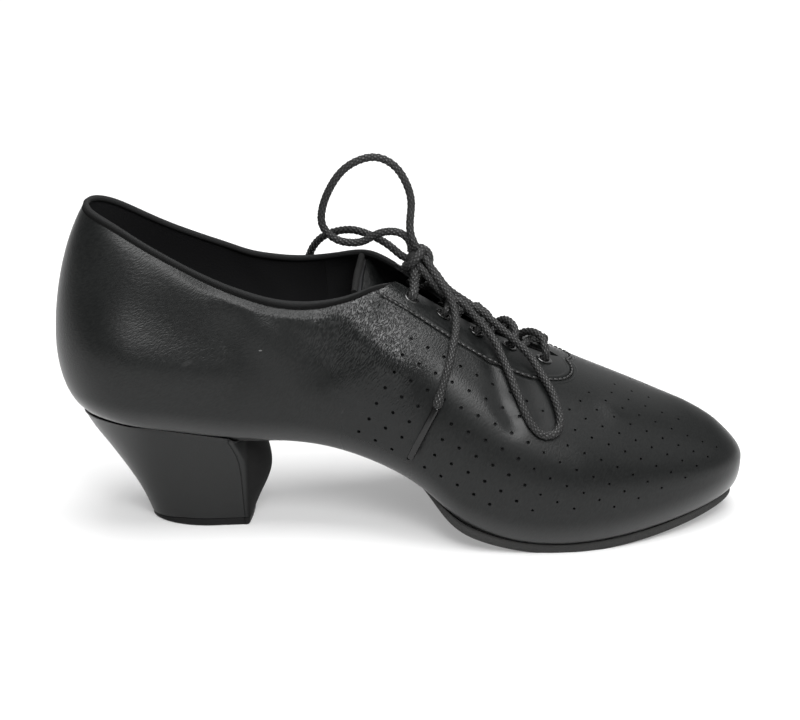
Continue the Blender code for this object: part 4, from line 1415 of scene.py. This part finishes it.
def meeting(first, second, guess):
    """The place one step from both neighbours, found by following the slopes of what it misses by."""
    place = np.array(guess, float)
    nudge = np.array([[0, 0], [0.05, 0], [0, 0.001]])
    farthest = np.array([4, 0.08])
    lowest, highest = (2, -0.95), (LENGTH - 0.5, 1.95)
    for _ in range(6):
        spots = place + nudge
        face = over_ridge(spots[:, 0], spots[:, 1])
        reach = [np.linalg.norm(face - near, axis=1) for near in (first, second)]
        miss = np.stack(reach, -1) - HOLE_STEP
        slope = np.column_stack([(miss[i] - miss[0]) / nudge[i, i - 1] for i in (1, 2)])
        change = np.linalg.lstsq(slope, miss[0], rcond=None)[0]
        place = np.clip(place - np.clip(change, -farthest, farthest), lowest, highest)
    return place


def punched_places():
    """The lattice of holes on the inner side, with both its steps kept equal over the leather."""
    row, _ = evenly(LATTICE_ROW, 0)
    column, start = evenly(LATTICE_COLUMN, 2)
    net = {(i, 0): place for i, place in enumerate(row)}
    net.update({(0, j - start): place for j, place in enumerate(column)})
    for way in (1, -1):
        rows = range(1, len(column) - start) if way > 0 else range(-1, -start - 1, -1)
        for j in rows:
            for i in range(1, len(row)):
                known = [net.get(spot) for spot in ((i - 1, j), (i, j - way), (i - 1, j - way))]
                if any(place is None for place in known):
                    continue
                left, beside, corner = known
                faces = [over_ridge(*place) for place in (left, beside)]
                place = meeting(*faces, left + beside - corner)
                if place[0] < LENGTH - 1 and -0.9 < place[1] < 1.9:
                    net[i, j] = place
    along, low, high = columns(PUNCHED_COLUMNS, PUNCHED_ROWS).values()
    kept = []
    for x, turn in net.values():
        inside = along[0] < x < along[-1]
        if inside and np.interp(x, along, low) < turn < np.interp(x, along, high):
            kept.append((x, turn))
    return np.array(kept)


def both_sides(seats):
    """The seats that a function gives for each side, joined with the inner side's first."""
    return [np.concatenate(parts) for parts in zip(seats(-1), seats(1))]


def eyelet_seats(side):
    """The eyelets' places on one side and the directions out of the leather."""
    x = np.array(EYELETS_ALONG)
    sides = np.full(len(x), float(side))
    turn = turn_at(x, sides, throat_edge(x, sides) + EYELET_FROM_EDGE)
    return surface(x, sides, turn), normal(x, sides, turn)


def hole_seats(spots, side):
    """The punched holes' places on one side, with its folds, and the directions out of the leather."""
    place = spots[:, 0], np.full(len(spots), float(side)), spots[:, 1]
    face, out = surface(*place), normal(*place)
    return face + folded(face)[:, None] * out, out


def cut_away(mesh, cutters):
    """The mesh less its cutters."""
    body = bpy.data.objects.new("body", mesh)
    tool = bpy.data.objects.new("tool", cutters)
    for made in (body, tool):
        bpy.context.collection.objects.link(made)
    cut = body.modifiers.new("cut", "BOOLEAN")
    cut.operation = "DIFFERENCE"
    cut.solver = "MANIFOLD"
    cut.object = tool
    plain = made_plain(body)
    bpy.data.objects.remove(tool)
    plain.shade_smooth()
    plain.set_sharp_from_angle(angle=math.radians(CUT_SHARP))
    return plain


def along_x(count):
    """The same way along for round things, which need none of their own."""
    return np.tile((1.0, 0.0, 0.0), (count, 1))


def make_upper():
    """The leather with its holes, and the lining inside it."""
    grid = upper_grid(FINE)
    height = relief(grid)
    leather = shell("upper_leather", grid, -height, LEATHER - sunk(height, LEATHER_SPARE))
    spots = punched_places()
    places, aims = both_sides(lambda side: hole_seats(spots, side))
    punch = turned_mesh("punch", PUNCH_PROFILE, 12)
    ahead = places[:, 0] > HOLES_SMALL_FROM
    for chosen, size in ((~ahead, 1.0), (ahead, HOLES_SMALL)):
        seats = places[chosen], aims[chosen], along_x(int(chosen.sum()))
        punches = scattered("punches", *seats, punch.copy(), FINISHES["leather"], size=size)
        leather = cut_away(leather, punches)
    seats = both_sides(eyelet_seats)
    drill = turned_mesh("rod", EYELET_DRILL, 20)
    rods = scattered("rods", *seats, along_x(len(seats[0])), drill, FINISHES["leather"])
    leather = cut_away(leather, rods.copy())
    inside = upper_grid(PLAIN)
    deeper = sunk(folded(inside["outside"]), LINING_SPARE)
    lining = shell("upper_lining", inside, LEATHER + LINING_GAP - deeper, WALL - deeper)
    lining = cut_away(lining, rods)
    mark_seam(leather)
    piece("upper_leather", leather, FINISHES["leather"], "upper_leather", "upper")
    piece("upper_lining", lining, FINISHES["lining"], "sock_lining", "upper")


# The collar's binding and the facing's stitches


def make_binding():
    """The cloth folded over the collar's edge, from corner to corner."""
    x, side = loop_round(FINE)
    behind = x <= CORNER
    x, side = x[behind], side[behind]
    top = top_turn(x, side)
    edge = surface(x, side, top)
    out = normal(x, side, top)
    up = edge - surface(x, side, top - SMALL_STEP)
    edge = edge + folded(edge)[:, None] * out
    up /= np.linalg.norm(up, axis=-1, keepdims=True)
    low = -binding_width(x)[:, None]
    lines = [edge + away * out + (share * low + over) * up for away, share, over, _ in BINDING_PROFILE]
    # Each profile row's share of painted light: painted highlight on the top, painted shade down the faces
    painted_light = np.tile([row[-1] for row in BINDING_PROFILE], (len(x), 1))
    mesh = lofted("collar_binding", np.stack(lines, 1), sharp=60, marks={"painted_light": painted_light})
    piece("collar_binding", mesh, FINISHES["binding"], "upper_leather")


def stitch_mesh():
    """One stitch: a rounded rod along X about its own middle."""
    angle = np.linspace(0, 2 * math.pi, STITCH_SIDES, endpoint=False)
    rings = []
    for place, size in STITCH_PROFILE:
        along, radius = np.full(STITCH_SIDES, place * STITCH_LENGTH), size * STITCH_THREAD
        rings.append(np.column_stack([along, radius * np.cos(angle), radius * np.sin(angle)]) - SHIFT)
    return lofted("stitch", rings, sharp=80)


def stitch_seats(side):
    """The middles of one side's stitches, the ways out of the leather, and the ways along the seam."""
    path, out = laid(FACING_STITCH, side, STITCH_PITCH)
    out = (out[1:] + out[:-1]) / 2
    return (path[1:] + path[:-1]) / 2 + STITCH_LIFT * out, out, np.diff(path, axis=0)


def needle_seats(side):
    """The places of the black dots of painted shade at the needle's holes between one side's stitches, with
    the same two ways.
    """
    path, out = laid(FACING_STITCH, side, STITCH_PITCH)
    return path - NEEDLE_SINK * out, out, np.gradient(path, axis=0)


def make_stitches():
    """The facing's stitches, and black dots of painted shade at the needle's holes between them."""
    threads = both_sides(stitch_seats)
    made = scattered("facing_stitches", *threads, stitch_mesh(), FINISHES["thread"], wander=STITCH_WANDER)
    piece("facing_stitches", made, FINISHES["thread"], "upper_leather")
    dot = turned_mesh("needle", NEEDLE_PROFILE, 8)
    made = scattered("needle_holes", *both_sides(needle_seats), dot, FINISHES["hole"])
    piece("needle_holes", made, FINISHES["hole"], "upper_leather")


# The lace


def frames_across(path):
    """Two unit vectors across a path at each of its points, carried along it without twist."""
    ahead = np.gradient(path, axis=0)
    ahead /= np.linalg.norm(ahead, axis=1, keepdims=True)
    # Any way that no route sets out in
    aside = (0.3, 0.5, 0.8)
    across = np.cross(ahead[0], aside)
    firsts = []
    for direction in ahead:
        across = across - direction * (across @ direction)
        across /= np.linalg.norm(across)
        firsts.append(across)
    return np.array(firsts), np.cross(ahead, firsts)


def braided(name, route, swell):
    """A round braid along a route: strands that pass over and under each other stand out of the cord."""
    path = smooth_curve(route, BRAID_STEP)
    first, second = (vectors[:, None] for vectors in frames_across(path))
    run = run_along(path)
    angle = np.linspace(0, 2 * math.pi, BRAID_SIDES, endpoint=False)
    around = BRAID_STRANDS * angle[None, :] / (2 * math.pi)
    right = around + run[:, None] / BRAID_PITCH
    left = around - run[:, None] / BRAID_PITCH
    right_over = (np.floor(right) + np.floor(left)) % 2 > 0.5
    crowns = [np.sin(math.pi * (strand % 1)) for strand in (right, left)]
    over, under = np.where(right_over, crowns, crowns[::-1])
    plait = over * (BRAID_EVEN + (1 - BRAID_EVEN) * under)
    radius = LACE_DIAMETER / 2 * (1 - BRAID_DEPTH + BRAID_DEPTH * plait)
    if callable(swell):
        swell = swell(run)[:, None]
    radius = radius * swell
    spokes = np.cos(angle)[:, None] * first + np.sin(angle)[:, None] * second
    rings = path[:, None] + radius[..., None] * spokes
    return lofted(name, rings, sharp=70, marks={"plait": plait}), path


def under_facing(x, side):
    """A point below the facing's edge, where a strand has dived under it."""
    side = float(side)
    turn = turn_at(x, side, throat_edge(x, side) + UNDER_FROM_EDGE)
    return surface(x, side, turn) - UNDER_DEPTH * normal(x, side, turn)


def crossing(seats, number, arch, side):
    """A strand that comes up out of one eyelet, crosses the throat and dives under the other facing."""
    start, axis = seats[0][number - 1], seats[1][number - 1]
    route = [start + height * axis for height in OUT_OF_EYELET]
    dive = EYELETS_ALONG[number - 2]
    return [*route, *arch, under_facing(dive + DIVE_AHEAD, side), under_facing(dive, side)]


def on_leather(rows):
    """Points of a route that lies on the inner side."""
    return [surface(x, -1, turn) + lift * normal(x, -1, turn) for x, turn, lift in rows]


def aglet(name, start, heading):
    """A rolled tip, nearly square, with a crimped mouth and a blunt nose."""
    radius = AGLET_DIAMETER / 2
    across = np.cross(heading, (0.0, 1.0, 0.0))
    across /= np.linalg.norm(across)
    over = np.cross(heading, across)
    across, over = (
        math.cos(AGLET_TWIST) * across + math.sin(AGLET_TWIST) * over,
        math.cos(AGLET_TWIST) * over - math.sin(AGLET_TWIST) * across,
    )
    angle = np.linspace(0, 2 * math.pi, 48, endpoint=False)[:, None]
    power = AGLET_SQUARENESS
    square = (np.cos(angle) ** power + np.sin(angle) ** power) ** (-1 / power)
    spokes = AGLET_FLAT * square * (np.cos(angle) * across + np.sin(angle) * over)
    rings = []
    for height, size in AGLET_PROFILE:
        rings.append(start + height * heading + size * radius * spokes)
    return lofted(name, rings)


def free_strand(name, route, node, swell=LACE_SWELL):
    """A stretch of the bow, made as a braid along its route."""
    mesh, path = braided(name, route, swell)
    strand = piece(name, mesh, FINISHES["braid"], "lace_braid", node)


def end_swell(run):
    """The braid's thickness along an end, which opens a little before it goes into its tip."""
    left = run[-1] - run
    opened = END_OPENS * hump(left - END_OPENS_BEFORE, END_OPENS_LENGTH)
    return LACE_SWELL + opened - END_CLOSES * (1 - soft_step(left, 0.0, END_MOUTH))


def lace_piece(name, route, swell, node):
    """A stretch of the lace that is held at both ends."""
    piece(name, braided(name, route, swell)[0], FINISHES["braid"], "lace_braid", node)


def make_bow():
    """The bow's two loops and its two ends with their tips."""
    free_strand("loop_standing", LOOP_STANDING, "lace_loop_standing")
    side = [*SIDE_LOW, *on_leather(SIDE_LAID), *SIDE_HIGH]
    free_strand("loop_side", side, "lace_loop_side")
    end_side = [*END_SIDE, *on_leather(END_LAID)]
    side_tip = on_leather([SIDE_TIP])[0]
    for word, route, toward in (("side", end_side, side_tip), ("far", END_FAR, FAR_TIP)):
        stop = np.asarray(route[-1])
        heading = np.asarray(toward) - stop
        heading /= np.linalg.norm(heading)
        name = f"aglet_{word}_tip"
        mesh = aglet(name, stop - AGLET_OVERLAP * heading, heading)
        tip = piece(name, mesh, FINISHES["plastic"], "aglet_plastic", f"aglet_{word}")
        free_strand(f"end_{word}", route, f"lace_end_{word}", end_swell)


def make_lacing():
    """The crossed strands between the eyelets, and the two that rise to the knot."""
    inner, outer = eyelet_seats(-1), eyelet_seats(1)
    for number, arch in ARCHES.items():
        node = f"lace_bar_{number}"
        lace_piece(f"{node}_near", crossing(inner, number, arch, 1), LACE_SWELL, node)
        start = outer[0][number - 1]
        end = under_facing(EYELETS_ALONG[number - 2] + LOW_DIVE_AHEAD, -1)
        low_arch = [start + share * (end - start) + (0, 0, LOW_ARCH) for share in LOW_ARCH_SHARES]
        route = crossing(outer, number, low_arch, -1)
        if number == 2:
            end = under_facing(FAR_ARCH[-1][0] + FAR_DIVE_AHEAD, -1)
            route = [*route[: len(OUT_OF_EYELET)], *FAR_ARCH, end]
        lace_piece(f"{node}_far", route, LACE_SWELL, node)
    for (places, aims), rest, word in ((inner, RISER_INNER, "inner"), (outer, RISER_OUTER, "outer")):
        route = [places[0] + height * aims[0] for height in OUT_OF_EYELET[:2]]
        lace_piece(f"lace_riser_{word}_braid", [*route, *rest], RISER_SWELL, f"lace_riser_{word}")


def make_knot():
    """A band and an arc of lace over a plain core."""
    lace_piece("knot_band", [*KNOT_BAND, KNOT_BAND[0]], BAND_SWELL, "lace_knot")
    lace_piece("knot_arc", KNOT_ARC, ARC_SWELL, "lace_knot")
    profile = [(math.sin(angle), -math.cos(angle)) for angle in np.linspace(0, math.pi, 13)]
    core = turned_mesh("knot_core", profile, 20)
    place, radii = (np.array(row) for row in KNOT_CORE)
    for vertex in core.vertices:
        vertex.co = to_frame(place + np.array(vertex.co) / MM * radii)
    # The core has no plait mark, so the braid finish gives it the darkened gap colour, painted shade, all
    # over.
    piece("knot_core", core, FINISHES["braid"], "lace_braid", "lace_knot")


def make_eyelets():
    """Five metal eyelets on each facing."""
    ring = turned_mesh("ring", EYELET_PROFILE, 28)
    seats = both_sides(eyelet_seats)
    mesh = scattered("eyelets", *seats, along_x(len(seats[0])), ring, FINISHES["metal"])
    numbers = range(1, len(EYELETS_ALONG) + 1)
    nodes = [f"eyelet_{word}_{number}" for word in ("inner", "outer") for number in numbers]
    piece("eyelets", mesh, FINISHES["metal"], "eyelet_metal", *nodes)


# Tongue, sole and heel


def tongue_face(start):
    """The tongue's upper face from a start as a grid of rows by columns, and the directions out of it."""
    count, across = TONGUE_GRID
    along = TONGUE["along"]
    x = np.linspace(start, along[-1], count)
    free = 1 - soft_step(x, along[0], along[0] + TONGUE_FREE)
    sink, level = (np.maximum(spline(x, along, TONGUE[word]), 0) for word in ("sink", "level"))
    strips = []
    for share in np.linspace(-1, 1, across):
        sides = np.full(len(x), -1.0 if share < 0 else 1.0)
        face = surface(x, sides, turn_at(x, sides, np.abs(share) * sided(TONGUE, x, sides)))
        ridge = section(x, sides)["ridge"][2]
        face[:, 2] = ridge - sink - (1 - level) * (ridge - face[:, 2])
        face[:, 0] += free * (TONGUE_LEAN + TONGUE_SLANT * share)
        face[:, 2] -= free * TONGUE_CORNER * max(-share, 0.0) ** 1.5
        strips.append(face)
    face = np.stack(strips, 1)
    out = np.cross(np.gradient(face, axis=0), np.gradient(face, axis=1))
    out /= np.linalg.norm(out, axis=-1, keepdims=True)
    return face - (WALL + TONGUE_GAP) * out, out


def make_tongue():
    """Leather over felt, with a rounded edge at the free end."""
    start, half = TONGUE["along"][0], TONGUE_THICKNESS / 2
    above, out = tongue_face(start + TONGUE_LEATHER_BACK)
    face = slab("tongue_leather", above, above - half * out)
    piece("tongue_leather", face, FINISHES["tongue"], "upper_leather", "tongue")
    above, out = tongue_face(start)
    felt = slab("tongue_felt", above - (half + LINING_GAP) * out, above - TONGUE_THICKNESS * out)
    piece("tongue_felt", felt, FINISHES["lining"], "sock_lining")
    back = above[0] - above[1]
    back /= np.linalg.norm(back, axis=1, keepdims=True)
    middle = above[0] - half * out[0]
    lines = []
    for angle in np.linspace(0, 2 * math.pi, 16, endpoint=False):
        over = TONGUE_EDGE * half * math.cos(angle) * out[0]
        lines.append(middle + over + TONGUE_EDGE * math.sin(angle) * back)
    edge = lofted("tongue_edge", np.stack(lines, 1), sharp=70)
    piece("tongue_edge", edge, FINISHES["edge"], "upper_leather")


def layer(name, inner, outer, height, thickness, soft, floor=None):
    """A layer under the foot that follows the feather edge, with softened edges."""
    x = stations(FINE)
    edges = []
    for side, grow in ((-1, inner), (1, outer)):
        s = section(x, side)
        edge = np.stack(s["feather"], -1)
        edge[:, :2] -= s["toward"] * grow[:, None]
        edges.append(edge)
    middle = (edges[0] + edges[1]) / 2
    half = np.linalg.norm(edges[1] - edges[0], axis=1) / 2
    inset = np.minimum(soft / np.maximum(half, 1e-6), 0.4)

    def row(share, drop):
        edge = np.where(share[:, None] < 0, edges[0], edges[1])
        point = middle + (edge - middle) * np.abs(share)[:, None]
        point[:, 2] = last("bottom", point[:, 0]) + height - drop
        return point if floor is None else np.maximum(point, (-np.inf, -np.inf, floor))

    across, whole = np.linspace(-1, 1, 13), np.ones(len(x))
    lines = [row(share * (1 - inset), 0 * whole) for share in across]
    lines += [row(whole, soft * whole), row(whole, thickness - soft)]
    lines += [row(share * (1 - inset), thickness) for share in across[::-1]]
    lines += [row(-whole, thickness - soft), row(-whole, soft * whole)]
    return lofted(name, np.stack(lines, 1), sharp=50)


def make_sole():
    """The suede outsole, and the sock lining inside."""
    x = stations(FINE)
    inner, outer, thickness = (spline(x, SOLE["along"], SOLE[word]) for word in SOLE_COLUMNS.split()[1:])
    sole = layer("suede_sole", inner, outer, -CLEARANCE, thickness, SOLE_SOFT, floor=0.0)
    piece("suede_sole", sole, FINISHES["suede"], "suede_sole", "outsole")
    inset = np.full(len(x), -INSOLE_INSET)
    height = WALL + 2 * CLEARANCE + INSOLE_THICKNESS
    sock = layer("sock_lining", inset, inset, height, np.full(len(x), INSOLE_THICKNESS), SOCK_SOFT)
    piece("sock_lining", sock, FINISHES["sock"], "sock_lining", "insole")


def heel_outline(back, breast, half, bulge):
    """One level of the heel: a round back, straight sides with a folded edge, and a bulging breast."""
    fullest = back + HEEL_FULLEST * (breast - back)
    corner = np.array([breast, half * BREAST_WIDTH])
    run = np.array([fullest, half]) - corner
    run /= np.linalg.norm(run)
    away = np.array([-run[1], run[0]])
    away *= np.sign(away[1])
    fold = np.array([corner + down * run + out * away for down, out in HEEL_FOLD])
    outline = []
    for angle in np.radians(np.linspace(-90, 90, HEEL_BACK_STEPS)):
        outline.append((fullest - (fullest - back) * math.cos(angle), half * math.sin(angle)))
    outline.extend(fold)
    for share in np.linspace(0.985, -0.985, HEEL_BREAST_STEPS):
        outline.append((breast + bulge * (1 - share**2), half * BREAST_WIDTH * share))
    outline.extend(fold[::-1] * (1, -1))
    return np.array(outline)


def heel_seat(x):
    """The height of the block's seat under the outsole."""
    return last("bottom", x) - spline(x, SOLE["along"], SOLE["thickness"]) - HEEL_BELOW_SOLE


def top_piece_height(x):
    """The rubber thins out toward the heel's back."""
    return TOP_PIECE * np.interp(x, *TOP_PIECE_THINS)


def heel_ring(share):
    """The heel's outline at a share of its height."""
    row = [spline(share, HEEL["share"], HEEL[word]) for word in ("back", "breast", "half", "bulge")]
    flat = heel_outline(*row)
    flat[:, 1] += last("middle", flat[:, 0])
    foot = top_piece_height(flat[:, 0]) + CLEARANCE
    return np.column_stack([flat, foot + share * (heel_seat(flat[:, 0]) - foot)])


def heel_lip():
    """Rings that carry the cover's rim up outside the outsole to the leather, and back down inside."""
    rim = heel_ring(1.0)
    table = columns(LIP_COLUMNS, LIP_ROWS)
    from_middle = rim[:, 1] - last("middle", rim[:, 0])
    at_side = soft_step(np.abs(from_middle), *LIP_SIDES)
    at_back = 1 - soft_step(rim[:, 0], *LIP_BACK)
    before_breast = np.arange(len(rim)) < HEEL_BACK_STEPS + len(HEEL_FOLD)
    share = np.where(before_breast, np.maximum(at_side, at_back), at_side)
    rise, out = (share * np.interp(rim[:, 0], table["along"], table[word]) for word in ("rise", "out"))
    rings = []
    for height, wide in LIP_RINGS:
        ring = rim.copy()
        ring[:, 1] += wide * out * np.sign(from_middle)
        ring[:, 2] += height * rise
        rings.append(ring)
    rings.append(rim.copy())
    centre = rim[:, :2].mean(0)
    for ring, size in ((rings[-2], LIP_INSIDE_TOP), (rings[-1], LIP_INSIDE_FOOT)):
        ring[:, :2] = centre + (ring[:, :2] - centre) * size
    return rings


def make_heel():
    """The leather-covered block, and the rubber top piece under it."""
    levels = [heel_ring(share) for share in np.linspace(0, 1, HEEL_LEVELS)]
    block = lofted("heel_cover", levels + heel_lip())
    piece("heel_cover", block, FINISHES["heel"], "heel_leather", "heel_block")
    rim = heel_ring(0.0)
    centre = rim.mean(0)
    rings = []
    for height, size in TOP_PIECE_PROFILE:
        ring = centre + (rim - centre) * size
        ring[:, 2] = height * top_piece_height(rim[:, 0])
        rings.append(ring)
    rubber = lofted("heel_top_piece_rubber", rings)
    piece("heel_top_piece_rubber", rubber, FINISHES["rubber"], "heel_rubber", "heel_top_piece")


# Stage, in the frame's metres. A softbox has a place, a target, a side and a power in watts.
FLOOR_REACH = 6.0
FLOOR_CORNERS = [(-1, -1, 0), (1, -1, 0), (1, 1, 0), (-1, 1, 0)]
WHITE = (1.0, 1.0, 1.0, 1.0)
PAPER = (0.62, 0.62, 0.62, 1.0)
PAPER_GLOW = 0.3
SKY_STRENGTH = 0.25
SOFTBOXES = [
    ("key", (0.2, -1.12, 1.15), (0.0, 0.0, 0.06), 0.66, 16.5),
    ("over", (0.05, 0.0, 1.25), (0.0, 0.0, 0.0), 1.0, 20.0),
    ("back", (0.6, 1.6, 0.9), (0.0, 0.0, 0.05), 1.6, 2.8),
    ("toe", (1.35, -0.25, 1.15), (0.08, 0.0, 0.05), 1.4, 4.5),
]


def make_floor():
    """White paper that the shoe stands on."""
    floor = bpy.data.meshes.new("floor")
    floor.from_pydata([np.multiply(corner, FLOOR_REACH) for corner in FLOOR_CORNERS], [], [[0, 1, 2, 3]])
    ground = bpy.data.objects.new("floor", floor)
    bpy.context.collection.objects.link(ground)
    paper = Finish(
        "studio_paper",
        base_color=PAPER,
        roughness=0.9,
        specular_ior_level=0.0,
        emission_color=WHITE,
        emission_strength=PAPER_GLOW,
    )
    floor.materials.append(paper.material)


def make_lights():
    """A white sky and four softboxes."""
    world = bpy.data.worlds.new("studio")
    bpy.context.scene.world = world
    world.use_nodes = True
    sky = world.node_tree.nodes["Background"]
    sky.inputs["Color"].default_value = WHITE
    sky.inputs["Strength"].default_value = SKY_STRENGTH
    for name, spot, target, size, power in SOFTBOXES:
        lamp = bpy.data.lights.new(f"softbox_{name}", "AREA")
        lamp.size = size
        lamp.energy = power
        light = bpy.data.objects.new(f"softbox_{name}", lamp)
        light.location = spot
        aim = np.array(target) - np.array(spot)
        tilt = math.acos(-aim[2] / np.linalg.norm(aim))
        light.rotation_euler = (tilt, 0.0, math.atan2(aim[1], aim[0]) - math.pi / 2)
        bpy.context.collection.objects.link(light)


def make_camera():
    """The photograph's camera, a little above the shoe and almost square to its side."""
    azimuth, elevation, distance = math.radians(0.6), math.radians(20.5), 1200.0
    focal_pixels, image_width = 3428.6, 800
    target = np.array([119.4, 0.0, 56.0])
    level = math.cos(elevation)
    way = np.array([math.sin(azimuth) * level, -math.cos(azimuth) * level, math.sin(elevation)])
    lens = bpy.data.cameras.new("camera")
    lens.sensor_width = 36.0
    lens.lens = focal_pixels * lens.sensor_width / image_width
    camera = bpy.data.objects.new("camera", lens)
    camera.location = to_frame(target + distance * way)
    camera.rotation_euler = (math.pi / 2 - elevation, 0.0, azimuth)
    bpy.context.collection.objects.link(camera)
    bpy.context.scene.camera = camera
    bpy.context.scene.view_settings.view_transform = "Standard"


make_camera()
make_bow()
make_lacing()
make_knot()
make_upper()
make_binding()
make_stitches()
make_eyelets()
make_tongue()
make_sole()
make_heel()
make_floor()
make_lights()
